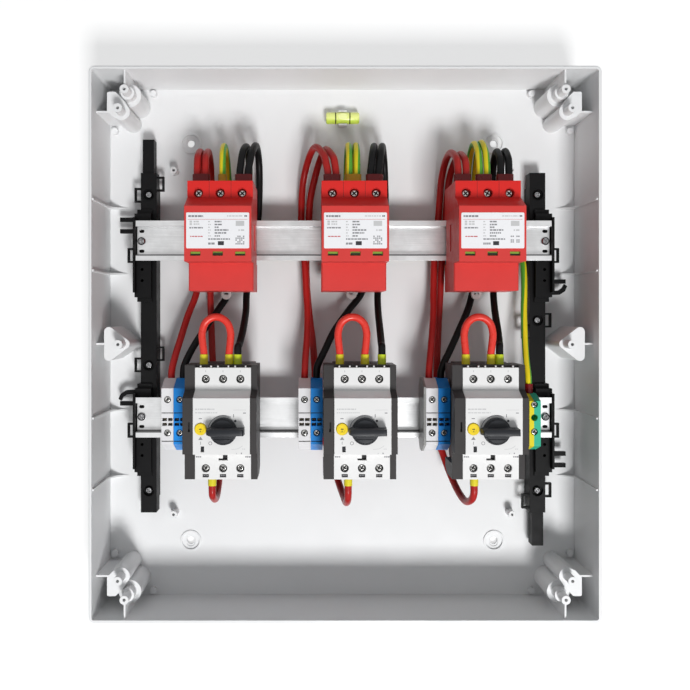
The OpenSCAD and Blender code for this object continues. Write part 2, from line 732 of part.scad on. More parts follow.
module rail_support_form() {
    base = wall + post_stud_h + seat_gap;
    translate([post_x, 0, base]) {
        block(post_w, post_len, post_h - post_stud_h);
        translate([-0.6, post_len / 2 + tail_len / 2 - 1, 0])
            block(tail_w, tail_len + 2, post_h - post_stud_h - 1.5);
    }
    for (side = [-1, 1]) {
        translate([post_x + side * (post_w / 2 - 1), 0, wall + seat_gap])
            block(2, post_len - 24, post_stud_h + 1);
    }
    translate([0, carrier_pitch / 2, 0]) carrier(false);
    translate([0, -carrier_pitch / 2, 0]) carrier(true);
    support_loop(post_x - post_w / 2, post_screws[0], wall + post_h - tie_loop_h - 2);
    support_loop(post_x + post_w / 2, post_screws[0] + 10, wall + post_h - tie_loop_h - 2);
    support_loop(post_x - post_w / 2, post_screws[1], wall + post_h - tie_loop_h - 2);
    support_loop(post_x + post_w / 2, post_screws[1] + 10, wall + post_h - tie_loop_h - 2);
}

module rail_support() {
    difference() {
        rail_support_form();
        for (y = post_screws) {
            translate([post_x, y, 0]) {
                cylinder(h = box_depth, d = post_screw_hole_d);
                translate([0, 0, wall + post_h - 3]) cylinder(h = box_depth, d = 10);
            }
        }
        for (row = [-1, 1], up = [-1, 1], y = carrier_holes) {
            translate([-rail_screw_x, row * carrier_pitch / 2 + up * y, carrier_top - 10])
                cylinder(h = box_depth, d = pilot_d);
        }
    }
}

module rail_support_left() on_wall() color(black_plastic) rail_support();

module rail_support_right() on_wall() color(black_plastic) rotate(180) rail_support();

module support_screws() on_wall() color(steel) {
    for (side = [-1, 1], y = post_screws) {
        translate([side * post_x, side * y, wall + post_h - 3 + seat_gap])
            pan_screw(6.6, 2.6, post_bore_d - 0.2, post_h - 3);
    }
}

// Latch of a device: a plate that slides down in a tunnel of the housing to let go of the rail
module device_latch(bottom, tip) {
    top = -rail_w / 2 + latch_hook;
    translate([0, 0, latch_z]) linear_extrude(latch_t) difference() {
        union() {
            translate([-latch_w / 2, bottom - tip + latch_w / 2])
                square([latch_w, top - bottom + tip - latch_w / 2]);
            translate([0, bottom - tip + latch_w / 2]) circle(latch_w / 2);
        }
        translate([0, bottom - tip + latch_w / 2 + 0.6]) square([4, 1.4], center = true);
    }
}

module latch_tunnel(bottom) {
    w = latch_w + 2 * slide_gap;
    translate([-w / 2, bottom - past, latch_z - slide_gap])
        cube([w, -bottom - rail_w / 2 + past, latch_t + 2 * slide_gap]);
}

// Seat of a device on its rail: a channel with a fixed hook over the upper flange
module rail_seat(w) {
    flange = rail_w / 2;
    difference() {
        translate([-w / 2 - past, -flange - latch_travel, device_back - past])
            cube([w + 2 * past, 2 * flange + latch_travel + 2 * seat_gap, past - device_back]);
        translate([-w / 2 - 2 * past, rail_channel_w / 2 + 0.8, device_back - 2 * past])
            cube([w + 4 * past, rail_w, 2 * past - device_back - rail_t - 3 * seat_gap]);
    }
}

// Surge arresters
module arrester_profile() {
    half = arrester_h / 2;
    nose = arrester_nose_h / 2;
    polygon([[-half, device_back], [-half, arrester_lower], [-nose, arrester_lower],
        [-nose, arrester_nose], [nose, arrester_nose], [nose_slope_y, arrester_shoulder],
        [half, arrester_shoulder], [half, device_back]]);
}

module arrester_housing(i) on_wall() color(arrester_red) {
    half = arrester_h / 2;
    on_rail(arrester_rows[i], 0) difference() {
        along_x(arrester_w) arrester_profile();
        rail_seat(arrester_w);
        latch_tunnel(-half);
        for (x = pole_x) {
            translate([x, screw_row_y, arrester_shoulder - screw_well])
                cylinder(h = screw_well + past, d = screw_well_d);
            translate([x, half - terminal_entry.z / 2 + past / 2, terminal_entry_z - terminal_entry.y / 2])
                block(terminal_entry.x, terminal_entry.z + past, terminal_entry.y);
            translate([x, window_y, arrester_nose - window.z]) block(window.x, window.y, window.z + past);
            translate([x, -half + 3, terminal_entry_z]) rotate([90, 0, 0]) cylinder(h = 3 + past, d = 7);
        }
        for (side = [-1, 1]) {
            translate([side * (arrester_w - lower_edge) / 2, -half, arrester_lower - lower_edge / 2])
                rotate([0, side * 45, 0])
                block(4 * lower_edge, 2 * (half - arrester_nose_h / 2 - 0.3), 2 * lower_edge);
            translate([side * arrester_w / 2, 0, side_recess_z])
                block(2 * side_recess.z, side_recess.y, side_recess.x);
        }
    }
}

module arrester_labels() on_wall() color("white") {
    for (x = arrester_rows) {
        on_rail(x, 0) translate([0, label_y, arrester_nose])
            linear_extrude(label_t) rounded_rect(label_w, label_h, 1);
    }
}

module arrester_flags() on_wall() color("#5f9a2b") {
    for (x = arrester_rows) {
        on_rail(x, 0) for (p = pole_x) {
            translate([p, window_y, arrester_nose - window.z])
                block(window.x - 2 * seat_gap, window.y - 2 * seat_gap, flag_t);
        }
    }
}

module arrester_screws() on_wall() color(steel) {
    for (x = arrester_rows) {
        on_rail(x, 0) for (p = pole_x) {
            translate([p, screw_row_y, arrester_shoulder - screw_well])
                pan_screw(screw_well_d - 0.8, 3, 3, 0);
        }
    }
}

module arrester_latch(i) on_wall() color("#b9b9b6") {
    on_rail(arrester_rows[i], 0) device_latch(-arrester_h / 2, latch_tip);
}

// String breakers
module breaker_front(inset) {
    polygon([[breaker_bottom, 0], [breaker_bottom, breaker_shoulder - inset],
        [breaker_nose_bottom + inset, breaker_shoulder - inset],
        [breaker_nose_bottom + inset, breaker_nose - inset],
        [breaker_nose_top - inset / 2, breaker_nose - inset],
        [breaker_slope_y - inset / 2, breaker_shoulder - inset],
        [housing_top, breaker_shoulder - inset], [housing_top, 0]]);
}

module breaker_core(w, inset) {
    along_x(w) breaker_front(inset);
}

module breaker_housing(i) on_wall() color(dark_grey) {
    w = housing_left + face_w + housing_right;
    shift = (housing_right - housing_left) / 2;
    on_rail(breaker_rows[i], 1) difference() {
        union() {
            along_x(face_w) polygon([[breaker_bottom, device_back + 12], [breaker_bottom, wide_from + past],
                [housing_top, wide_from + past], [housing_top, device_back + 12],
                [housing_top - 12, device_back], [breaker_bottom + 12, device_back]]);
            translate([shift, 0, 0]) along_x(w) polygon([[breaker_bottom + 5, wide_from],
                [breaker_bottom, wide_from + 9], [breaker_bottom, breaker_shoulder - 0.6],
                [breaker_nose_bottom, breaker_shoulder - 0.6], [breaker_nose_bottom, breaker_nose - 1],
                [breaker_nose_top, breaker_nose - 1], [breaker_slope_y, breaker_shoulder - 0.6],
                [housing_top, breaker_shoulder - 0.6], [housing_top, wide_from]]);
        }
        translate([-face_w / 2 - housing_left - past, block_pocket[0], wide_from - past])
            cube([housing_left + past, block_pocket[1] - block_pocket[0],
                block_pocket[2] - wide_from + past]);
        translate([0, 0, face_t]) difference() {
            block(face_w, 4 * housing_top, breaker_nose + past);
            translate([0, 0, -face_t]) breaker_core(face_w + 2 * past, face_t + seat_gap);
        }
        rail_seat(w + 10);
        latch_tunnel(breaker_bottom);
        translate([handle_x, handle_y, breaker_nose - face_t - spindle_len])
            cylinder(h = spindle_len + past, d = spindle_d + 2 * spindle_fit);
        translate([dial_x, dial_y, breaker_nose - face_t - 4])
            cylinder(h = 4 + past, d = 4 + 2 * spindle_fit);
        translate([test_key_pos.x, test_key_pos.y, breaker_nose - face_t - 4])
            block(test_key.x + 2 * slide_gap, test_key.y + 2 * slide_gap, 4 + past);
        for (x = breaker_terminals) {
            for (cell = [-1, 1], y = [housing_top - breaker_entry / 2, breaker_bottom + breaker_entry / 2]) {
                translate([x + cell * cell_offset, y, breaker_entry_z - breaker_cell.y / 2])
                    block(breaker_cell.x, breaker_entry + 2 * past, breaker_cell.y);
            }
            for (y = breaker_screw_rows) {
                translate([x, y, breaker_shoulder - face_t - 3])
                    cylinder(h = 3 + past, d = breaker_screw_d + 0.6);
            }
        }
        translate([-face_w / 2 - housing_left / 2 + 1, 1.4, breaker_nose - 4])
            block(vent_slot.x, vent_slot.y, 4);
    }
}

// Light cover laid over the stepped front
module breaker_face(i) on_wall() color(off_white) {
    on_rail(breaker_rows[i], 1) difference() {
        union() {
            intersection() {
                breaker_core(face_w - 2 * seat_gap, 0);
                translate([0, (face_top + breaker_bottom) / 2, 0])
                    block(face_w, face_top - breaker_bottom, breaker_nose);
            }
            for (x = breaker_terminals, side = [-1, 1]) {
                translate([x + side * tooth_x, face_top + tooth.y / 2 - 0.2, breaker_shoulder - face_t])
                    block(tooth.x, tooth.y + 0.4, face_t - 0.6);
            }
        }
        translate([0, 0, -past]) breaker_core(face_w + 2 * past, face_t - past);
        translate([0, 0, -past]) block(face_w + past, 4 * housing_top, 20);
        translate([handle_x, handle_y, 0]) cylinder(h = breaker_nose + past, d = spindle_d + 2 * slide_gap);
        translate([dial_x, dial_y, 0]) cylinder(h = breaker_nose + past, d = dial_d + 2 * spindle_fit);
        translate([test_key_pos.x, test_key_pos.y, 0])
            block(test_key.x + 2 * slide_gap, test_key.y + 2 * slide_gap, breaker_nose + past);
        translate([0, lock_y, 0]) linear_extrude(breaker_nose) polygon(lock_step);
        for (x = breaker_terminals) {
            for (y = breaker_screw_rows) {
                translate([x, y, 0]) cylinder(h = breaker_nose, d = breaker_screw_d + 0.6);
            }
            translate([x, rating_y, breaker_shoulder - 1]) block(rating_slot.x, rating_slot.y, 2);
        }
    }
}

module breaker_handle(i) on_wall() color("#2b2d30") {
    on_rail(breaker_rows[i], 1) translate([handle_x, handle_y, breaker_nose]) {
        translate([0, 0, slide_gap]) {
            cylinder(h = grip_base - 1, d = handle_d);
            translate([0, 0, grip_base - 1]) cylinder(h = 1, d1 = handle_d, d2 = handle_d - 2);
            translate([0, 0, 1.4]) linear_extrude(handle_h - slide_gap - 1.4)
                polygon(rounded([[-grip_reach[0], -2], [-8.5, -grip_w / 2], [8, -grip_w / 2],
                    [10.5, -2.6], [grip_reach[1], -2.6], [grip_reach[1], 2.6], [10.5, 2.6],
                    [8, grip_w / 2], [-8.5, grip_w / 2], [-grip_reach[0], 2]], 0.8));
        }
        translate([0, 0, -face_t - spindle_len + 1]) cylinder(h = spindle_len + face_t, d = spindle_d);
    }
}

module breaker_dial(i) on_wall() color("#f0c419") {
    on_rail(breaker_rows[i], 1) translate([dial_x, dial_y, breaker_nose - face_t]) {
        difference() {
            translate([0, 0, slide_gap]) cylinder(h = face_t + dial_h - slide_gap, d = dial_d);
            translate([0, 0, face_t + dial_h - 0.8]) block(5.4, 1.1, 2);
        }
        translate([0, 0, -3.5]) cylinder(h = 5, d = 4);
    }
}

module breaker_test_key(i) on_wall() color("#161616") {
    on_rail(breaker_rows[i], 1) translate([test_key_pos.x, test_key_pos.y, breaker_nose - test_key.z - 1.4])
        block(test_key.x, test_key.y, test_key.z);
}

module breaker_latch(i) on_wall() color("#262626") {
    on_rail(breaker_rows[i], 1) device_latch(breaker_bottom, latch_tip);
}

module breaker_screws() on_wall() color(steel) {
    for (x = breaker_rows) {
        on_rail(x, 1) for (p = breaker_terminals, y = breaker_screw_rows) {
            translate([p, y, breaker_shoulder - face_t - 3]) pan_screw(breaker_screw_d, 3, 3, 0);
        }
    }
}

// Terminal blocks
module block_profile(h, front, bevel, offset) {
    top = offset + h / 2;
    low = offset - h / 2;
    polygon([[low, device_back + 9], [low, front - bevel.y], [low + bevel.x, front],
        [top - bevel.x, front], [top, front - bevel.y], [top, device_back + 9],
        [top - 9, device_back], [low + 9, device_back]]);
}

// Snap foot: a channel for the rail with a hook at both flanges
module block_seat(w) {
    flange = rail_w / 2 + seat_gap;
    difference() {
        translate([-w, -flange, device_back - past]) cube([2 * w, 2 * flange, past - device_back]);
        for (side = [-1, 1]) {
            translate([-w - past, side > 0 ? rail_channel_w / 2 + 0.8 : -rail_channel_w / 2 - 0.8 - rail_w,
                device_back - 2 * past])
                cube([2 * w + 2 * past, rail_w, 2 * past - device_back - rail_t - 3 * seat_gap]);
        }
    }
}

module terminal_block() {
    difference() {
        along_x(block_w) block_profile(block_h, block_front, block_bevel, block_offset);
        block_seat(block_w);
        for (y = block_screw_rows) {
            translate([0, block_offset + y, block_front - 3.5]) cylinder(h = 5, d = block_screw_d + 0.6);
        }
        for (side = [-1, 1]) {
            translate([0, block_offset + side * (block_h / 2 + past), block_entry_z])
                rotate([side * 90, 0, 0]) cylinder(h = block_entry + past, d = block_entry_d);
        }
        for (x = [-1, 1], y = bridge_slot_y) {
            translate([x * (bridge_slot.x / 2 + 0.3), block_offset + y, block_front - bridge_slot.z])
                block(bridge_slot.x - 0.3, bridge_slot.y, bridge_slot.z + past);
        }
        for (y = block_line) {
            translate([0, block_offset + y, block_front - 0.8]) block(block_w + past, 0.7, 2);
        }
    }
}

module terminal_grey(i) on_wall() color("#c9c8c6") {
    on_rail(pair_rows[i] - block_side, 1) terminal_block();
}

module terminal_blue(i) on_wall() color("#1f78d1") {
    on_rail(pair_rows[i] + block_side, 1) terminal_block();
}

module terminal_end_plate() on_wall() color("#a4a5a3") {
    x = pair_3_x - 2 * block_side - end_plate_t / 2;
    on_rail(x, 1) difference() {
        along_x(end_plate_t) block_profile(block_h + 2, block_front - 0.5, block_bevel, block_offset);
        block_seat(end_plate_t);
        translate([0, block_offset, block_front - 4]) block(end_plate_t - 1.6, block_h - 24, 5);
    }
}

module earth_terminal() on_wall() color("#2f9a6b") {
    half = earth_block_h / 2;
    on_rail(earth_block_x, 1) difference() {
        along_x(earth_block_w)
            block_profile(earth_block_h, earth_block_front, earth_bevel, earth_offset);
        block_seat(earth_block_w);
        for (y = earth_screw_rows) {
            translate([-0.6, y, earth_block_front - 3.5]) cylinder(h = 5, d = block_screw_d + 0.6);
        }
        translate([-0.6, earth_hole_y, earth_block_front - 10]) cylinder(h = 12, d = block_screw_d + 0.4);
        for (side = [-1, 1]) {
            translate([earth_entry_x, earth_offset + side * (half + past), earth_entry_z])
                rotate([side * 90, 0, 0]) cylinder(h = block_entry + past, d = 4.6);
        }
    }
}

module terminal_screws() on_wall() color(steel) {
    for (x = pair_rows, side = [-1, 1], y = block_screw_rows) {
        on_rail(x + side * block_side, 1)
            translate([0, block_offset + y, block_front - 3.5]) pan_screw(block_screw_d, 2.4, 2.6, 0);
    }
    for (y = earth_screw_rows) {
        on_rail(earth_block_x, 1)
            translate([-0.6, y, earth_block_front - 3.5]) pan_screw(block_screw_d, 3.6, 2.6, 0);
    }
}

// Leads
// Point on a smooth curve through four points, a share t of the way from b to c
function spline(a, b, c, d, t) =
    0.5 * (2 * b + (c - a) * t + (2 * a - 5 * b + 4 * c - d) * t * t + (3 * b - a - 3 * c + d) * t * t * t);

function smooth_route(p, steps) =
    let (last = len(p) - 1)
    [for (i = [0:last - 1], s = [0:steps - 1])
        spline(p[max(i - 1, 0)], p[i], p[i + 1], p[min(i + 2, last)], s / steps), p[last]];

function route_tangent(p, i) = unit(p[min(i + 1, len(p) - 1)] - p[max(i - 1, 0)]);

// Carries the section's side vector along the route without twisting it
function route_sides(p, i = 0, side = [1, 0, 0]) =
    i == len(p) ? [] :
    let (t = route_tangent(p, i), n = unit(side - (side * t) * t))
    concat([n], route_sides(p, i + 1, n));

module lead(points, d) {
    path = smooth_route(points, lead_steps);
    sides = route_sides(path);
    n = lead_sides;
    rings = [for (i = [0:len(path) - 1], k = [0:n - 1])
        let (b = cross(route_tangent(path, i), sides[i]))
        path[i] + d / 2 * (sides[i] * cos(360 * k / n) + b * sin(360 * k / n))];
    last = (len(path) - 1) * n;
    skin = [for (i = [0:len(path) - 2], k = [0:n - 1])
        let (a = i * n, m = (k + 1) % n)
        each [[a + k, a + n + k, a + m], [a + m, a + n + k, a + n + m]]];
    ends = [[for (k = [0:n - 1]) k], [for (k = [n - 1:-1:0]) last + k]];
    polyhedron(rings, concat(skin, ends));
}

// Collar of one lead or two, with its pin: it stands on a terminal's face and points up
module collar(d, spacing, wall_t, pin) {
    outer = d + 2 * lead_gap + 2 * wall_t;
    difference() {
        linear_extrude(collar_len) stadium(outer + spacing, outer);
        for (side = spacing > 0 ? [-1, 1] : [0]) {
            translate([side * spacing / 2, 0, 1.6]) cylinder(h = collar_len, d = d + 2 * lead_gap);
        }
    }
    translate([0, 0, -pin.z]) linear_extrude(pin.z + past / 2) stadium(pin.x, pin.y);
}

// Stands a collar on a terminal's upper face, at a height above the wall
module collar_up(x, y, z) {
    translate([x, y, z]) rotate([-90, 0, 0]) children();
}

module lead_ferrules() on_wall() color("#e3d21f") {
    top = rail_rows[1] + housing_top;
    low = rail_rows[1] + breaker_bottom;
    z = rail_front + breaker_entry_z;
    for (i = [0:2]) {
        for (x = [-breaker_pitch - cell_offset, cell_offset, breaker_pitch + black_cells[i] * cell_offset]) {
            collar_up(breaker_rows[i] + x, top, z) collar(lead_d, 0, ferrule_wall, [4.8, 4.8, 11]);
        }
        translate([breaker_rows[i] - breaker_pitch + cell_offset, low, z]) rotate([90, 0, 0])
            collar(lead_d, 0, ferrule_wall, [4.8, 4.8, 11]);
    }
}

module lead_collars() on_wall() color("#8e1517") {
    top = rail_rows[0] + arrester_h / 2;
    z = rail_front + terminal_entry_z;
    for (x = arrester_rows, pole = [0, poles - 1]) {
        collar_up(x + pole_x[pole], top, z) collar(lead_d, 2 * cell_offset, collar_wall, [10, 4.4, 10]);
    }
    collar_up(arrester_3_x + pole_x[1], top, z) collar(earth_lead_d, 6.4, collar_wall, [9, 4, 10]);
    collar_up(earth_block_x + earth_entry_x, rail_rows[1] + earth_offset + earth_block_h / 2,
        rail_front + earth_entry_z) collar(earth_lead_d, 0, collar_wall, [3.4, 3.4, 9]);
}

module earth_collars() on_wall() color("#b98a12") {
    top = rail_rows[0] + arrester_h / 2;
    z = rail_front + terminal_entry_z;
    collar_up(arrester_1_x + pole_x[1], top, z) collar(earth_lead_d, 0, collar_wall, [4, 4, 10]);
    collar_up(arrester_2_x + pole_x[1], top, z) collar(earth_lead_d, 6.4, collar_wall, [9, 4, 10]);
}

module leads_red(i) on_wall() color("#a3191b") {
    for (route = red_routes[i]) {
        lead(route, lead_d);
    }
}

module leads_black(i) on_wall() color("#1d1d1d") {
    for (route = black_routes[i]) {
        lead(route, lead_d);
    }
}

module jumper(i) on_wall() color("#d8332f") {
    lead([for (p = jumper_route) p + [breaker_rows[i], 0, 0]], lead_d);
}

module lead_earth(i) on_wall() color("#7fae2b") {
    lead(earth_routes[i], earth_lead_d);
}

enclosure_base();
level_vial();
rail(0);  // rail_upper
rail(1);  // rail_lower
rail_screws();
rail_support_left();
rail_support_right();
support_screws();
arrester_housing(0);  // arrester_1
arrester_housing(1);  // arrester_2
arrester_housing(2);  // arrester_3
arrester_labels();
arrester_flags();
arrester_screws();
arrester_latch(0);  // arrester_1_latch
arrester_latch(1);  // arrester_2_latch
arrester_latch(2);  // arrester_3_latch
breaker_housing(0);  // breaker_1_housing
breaker_housing(1);  // breaker_2_housing
breaker_housing(2);  // breaker_3_housing
breaker_face(0);  // breaker_1_face
breaker_face(1);  // breaker_2_face
breaker_face(2);  // breaker_3_face
breaker_handle(0);  // breaker_1_handle
breaker_handle(1);  // breaker_2_handle
breaker_handle(2);  // breaker_3_handle
breaker_dial(0);  // breaker_1_dial
breaker_dial(1);  // breaker_2_dial
breaker_dial(2);  // breaker_3_dial
breaker_test_key(0);  // breaker_1_test_key
breaker_test_key(1);  // breaker_2_test_key
breaker_test_key(2);  // breaker_3_test_key
breaker_latch(0);  // breaker_1_latch
breaker_latch(1);  // breaker_2_latch
breaker_latch(2);  // breaker_3_latch
breaker_screws();
terminal_grey(0);  // terminal_grey_1
terminal_grey(1);  // terminal_grey_2
terminal_grey(2);  // terminal_grey_3
terminal_blue(0);  // terminal_blue_1
terminal_blue(1);  // terminal_blue_2
terminal_blue(2);  // terminal_blue_3
terminal_end_plate();
earth_terminal();
terminal_screws();
lead_ferrules();
lead_collars();
earth_collars();
leads_red(0);  // leads_red_1
leads_red(1);  // leads_red_2
leads_red(2);  // leads_red_3
leads_black(0);  // leads_black_1
leads_black(1);  // leads_black_2
leads_black(2);  // leads_black_3
jumper(0);  // jumper_1
jumper(1);  // jumper_2
jumper(2);  // jumper_3
lead_earth(0);  // lead_earth_1
lead_earth(1);  // lead_earth_2
lead_earth(2);  // lead_earth_3
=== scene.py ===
# Looks of the solar combiner box: an open wall box with arresters, string breakers,
# terminal blocks and leads.
# Sizes are in millimetres in the wall frame of the part: x to the right, y up, z out of the wall.
# Materials, stage, lamp and camera use metres and Blender's axes: z up, and -y out of the wall.
import math
import bmesh
import bpy
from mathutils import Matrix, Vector


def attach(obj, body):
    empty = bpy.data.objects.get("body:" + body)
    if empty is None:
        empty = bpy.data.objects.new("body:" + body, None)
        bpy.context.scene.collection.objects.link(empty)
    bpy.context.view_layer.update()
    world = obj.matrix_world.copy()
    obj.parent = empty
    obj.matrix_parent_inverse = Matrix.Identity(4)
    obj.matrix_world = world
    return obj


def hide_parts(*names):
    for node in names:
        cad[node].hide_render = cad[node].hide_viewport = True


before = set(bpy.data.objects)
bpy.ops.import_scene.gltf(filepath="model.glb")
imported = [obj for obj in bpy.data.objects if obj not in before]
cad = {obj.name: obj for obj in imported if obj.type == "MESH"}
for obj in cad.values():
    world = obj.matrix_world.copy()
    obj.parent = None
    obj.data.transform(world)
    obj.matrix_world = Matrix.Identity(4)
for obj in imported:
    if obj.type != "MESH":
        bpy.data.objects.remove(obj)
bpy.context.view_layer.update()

# Places on the wall, as in the part's source.
RAIL_ROWS = (89.8, -65.0)  # centre lines of the upper and the lower rail
RAIL_FRONT = 35.0
ARRESTERS = (-103.0, 7.0, 116.6)
BREAKERS = (-99.0, 12.3, 115.5)
PAIRS = (-144.1, -28.9, 78.4)  # grey and blue block, where the two meet
EARTH_BLOCK = 159.8
BLOCK_SIDE = 5.15  # from the middle of a pair to the middle of a block
BLOCK_RISE = 4.6  # from the rail's centre line to the middle of a block
POLE = 17.9  # from one terminal of an arrester to the next
BREAKER_POLE = 13.85
BLACK_FERRULES = (-88.55, 29.55, 125.95)
LEAD_D = 6.1
EARTH_LEAD_D = 5.6

# Fronts above the rail's front, on which print lies.
LABEL_FRONT = 62.3
ARRESTER_SHOULDER = 45.0
BREAKER_NOSE = 72.0
BREAKER_SHOULDER = 60.0
INK = 0.03  # thickness of print

# Turning parts of a breaker: middle and front, from the middle of the breaker.
HANDLE = (1.7, -1.5, BREAKER_NOSE)
DIAL = (-16.3, 0.0, BREAKER_NOSE)

# Where the colour of a piece changes, in millimetres along Blender's axes.
# The dark line along a rail's inner bend is painted shade.
RAIL_BEND_SHADE = 12.4  # dull inner bend below a rail's centre line
BEND_SHADE_HALF = 0.9
# Above this height the arresters take a deeper red, partly painted shade on the slope that faces
# up.
ARRESTER_SHADE_STEP = 112.0  # height at which the arresters' red changes
EARTH_SPLIT = 158.9
FERRULE_HALF = 3.6
VIAL_LEVEL = 200.6


# ---------------------------------------------------------------- materials
class Nodes:
    """A short way to wire the nodes of a material or of the world."""

    def __init__(self, owner, output="ShaderNodeOutputMaterial"):
        owner.use_nodes = True
        self.owner = owner
        self.tree = owner.node_tree
        self.tree.nodes.clear()
        self.out = self.add(output)

    def add(self, kind, **props):
        node = self.tree.nodes.new(kind)
        for key, value in props.items():
            setattr(node, key, value)
        return node

    def link(self, a, b):
        self.tree.links.new(a, b)

    def value(self, node, socket, value):
        node.inputs[socket].default_value = value

    def coords(self, scale=(1, 1, 1)):
        tex = self.add("ShaderNodeTexCoord")
        mapping = self.add("ShaderNodeMapping")
        self.value(mapping, "Scale", scale)
        self.link(tex.outputs["Object"], mapping.inputs["Vector"])
        return mapping.outputs["Vector"]

    def along(self, axis):
        """One coordinate of the point on the object."""
        xyz = self.add("ShaderNodeSeparateXYZ")
        self.link(self.add("ShaderNodeTexCoord").outputs["Object"], xyz.inputs["Vector"])
        return xyz.outputs[axis]

    def combine(self, operation, a, b):
        """Two sockets, or a socket and a number, put through one operation."""
        m = self.add("ShaderNodeMath", operation=operation)
        for k, term in enumerate((a, b)):
            if hasattr(term, "links"):
                self.link(term, m.inputs[k])
            else:
                self.value(m, k, term)
        return m

    def near(self, where, at_mm, half_mm):
        """1 within a narrow stretch of one axis, and 0 elsewhere."""
        m = self.combine("COMPARE", where, at_mm / 1000)
        self.value(m, 2, half_mm / 1000)
        return m.outputs["Value"]

    def highest(self, a, b):
        return self.combine("MAXIMUM", a, b).outputs["Value"]

    def noise(self, scale, detail=3.0, rough=0.55, vector=None):
        n = self.add("ShaderNodeTexNoise")
        self.value(n, "Scale", scale)
        self.value(n, "Detail", detail)
        self.value(n, "Roughness", rough)
        self.link(vector if vector is not None else self.coords(), n.inputs["Vector"])
        return n.outputs["Fac"]

    def span(self, fac, low, high, lo_in=0.3, hi_in=0.7):
        m = self.add("ShaderNodeMapRange")
        self.value(m, "From Min", lo_in)
        self.value(m, "From Max", hi_in)
        self.value(m, "To Min", low)
        self.value(m, "To Max", high)
        self.link(fac, m.inputs["Value"])
        return m.outputs["Result"]

    def mix(self, fac, a, b):
        m = self.add("ShaderNodeMix", data_type="RGBA")
        self.link(fac, m.inputs["Factor"])
        for socket, colour in ((6, a), (7, b)):
            if hasattr(colour, "links"):
                self.link(colour, m.inputs[socket])
            else:
                m.inputs[socket].default_value = (*colour, 1)
        return m.outputs[2]

    def bump(self, height, strength, distance, normal=None):
        b = self.add("ShaderNodeBump")
        self.value(b, "Strength", strength)
        self.value(b, "Distance", distance)
        self.link(height, b.inputs["Height"])
        if normal is not None:
            self.link(normal, b.inputs["Normal"])
        return b.outputs["Normal"]

    def soft_edges(self, radius):
        b = self.add("ShaderNodeBevel", samples=4)
        self.value(b, "Radius", radius)
        return b.outputs["Normal"]

    def finish(self, shader):
        self.link(shader, self.out.inputs["Surface"])
        return self.owner


def material_nodes(name):
    return Nodes(bpy.data.materials.new(name))


def tone(colour, share):
    return tuple(min(1.0, max(0.0, c * share)) for c in colour)


def plastic(name, colour, rough=0.42, tint=0.05, grain=2600, grain_depth=0.05, edge=0.0004,
            specular=0.25, blotch=22):
    """Moulded plastic: a faint cloud in its tone, a fine spark-eroded grain and soft edges."""
    n = material_nodes(name)
    cloud = n.noise(blotch, 4)
    fine = n.noise(grain, 2)
    shade = n.mix(n.span(cloud, 0, 1), tone(colour, 1 - tint), tone(colour, 1 + tint))
    shade = n.mix(n.span(fine, 0, 0.35, 0.35, 0.75), shade, tone(colour, 1 - 2.2 * tint))
    p = n.add("ShaderNodeBsdfPrincipled")
    n.link(shade, p.inputs["Base Color"])
    n.link(n.span(n.noise(blotch * 5, 3), rough - 0.06, rough + 0.06), p.inputs["Roughness"])
    n.value(p, "Specular IOR Level", specular)
    normal = n.soft_edges(edge) if edge else None
    n.link(n.bump(fine, grain_depth, 0.0001, normal), p.inputs["Normal"])
    return n.finish(p.outputs["BSDF"])


def metal(name, colour, rough=0.3, stretch=(1, 1, 1), tint=0.08, edge=0.0002, depth=0.12,
          scale=900, blotch=60, shaded_bends=()):
    """Plated steel: fine drawn streaks, a cloudy plating and a dull darker line of painted shade
    along each bend.
    """
    n = material_nodes(name)
    streak = n.noise(scale, 4, 0.6, n.coords(stretch))
    cloud = n.noise(blotch, 4)
    shade = n.mix(n.span(cloud, 0, 1), tone(colour, 1 - tint), tone(colour, 1 + tint))
    shade = n.mix(n.span(streak, 0, 0.5), shade, tone(colour, 1 - 2 * tint))
    # Painted shade: each bend is darkened to a quarter of the colour.
    for z in shaded_bends:
        shade = n.mix(n.near(n.along("Z"), z, BEND_SHADE_HALF), shade, tone(colour, 0.25))
    p = n.add("ShaderNodeBsdfPrincipled")
    n.value(p, "Metallic", 1.0)
    n.link(shade, p.inputs["Base Color"])
    n.link(n.span(streak, rough - 0.06, rough + 0.09), p.inputs["Roughness"])
    n.link(n.bump(streak, depth, 0.00005, n.soft_edges(edge)), p.inputs["Normal"])
    return n.finish(p.outputs["BSDF"])


def split_plastic(name, low, high, at_mm, axis="X", rough=0.38, specular=0.25, blend=0.05):
    """Plastic in two colours that meet in a plane across one axis."""
    n = material_nodes(name)
    side = n.span(n.along(axis), 0, 1, (at_mm - blend) / 1000, (at_mm + blend) / 1000)
    return two_tone(n, side, low, high, rough, specular)


def banded_plastic(name, colour, other, centres, half, rough=0.3, specular=0.25):
    """Plastic of one colour, and of another within a few narrow stretches of x."""
    n = material_nodes(name)
    bands = [n.near(n.along("X"), x, half) for x in centres]
    total = bands[0]
    for band in bands[1:]:
        total = n.highest(total, band)
    return two_tone(n, total, colour, other, rough, specular)


def two_tone(n, fac, low, high, rough, specular):
    """Moulded plastic whose colour goes from one to the other with a factor."""
    cloud = n.span(n.noise(40, 4), 0.0, 0.5)
    shade = n.mix(fac, n.mix(cloud, low, tone(low, 0.86)), n.mix(cloud, high, tone(high, 0.86)))
    p = n.add("ShaderNodeBsdfPrincipled")
    n.link(shade, p.inputs["Base Color"])
    n.link(n.span(n.noise(120, 3), rough - 0.05, rough + 0.07), p.inputs["Roughness"])
    n.value(p, "Specular IOR Level", specular)
    n.link(n.bump(n.noise(2600, 2), 0.05, 0.0001, n.soft_edges(0.0004)), p.inputs["Normal"])
    return n.finish(p.outputs["BSDF"])


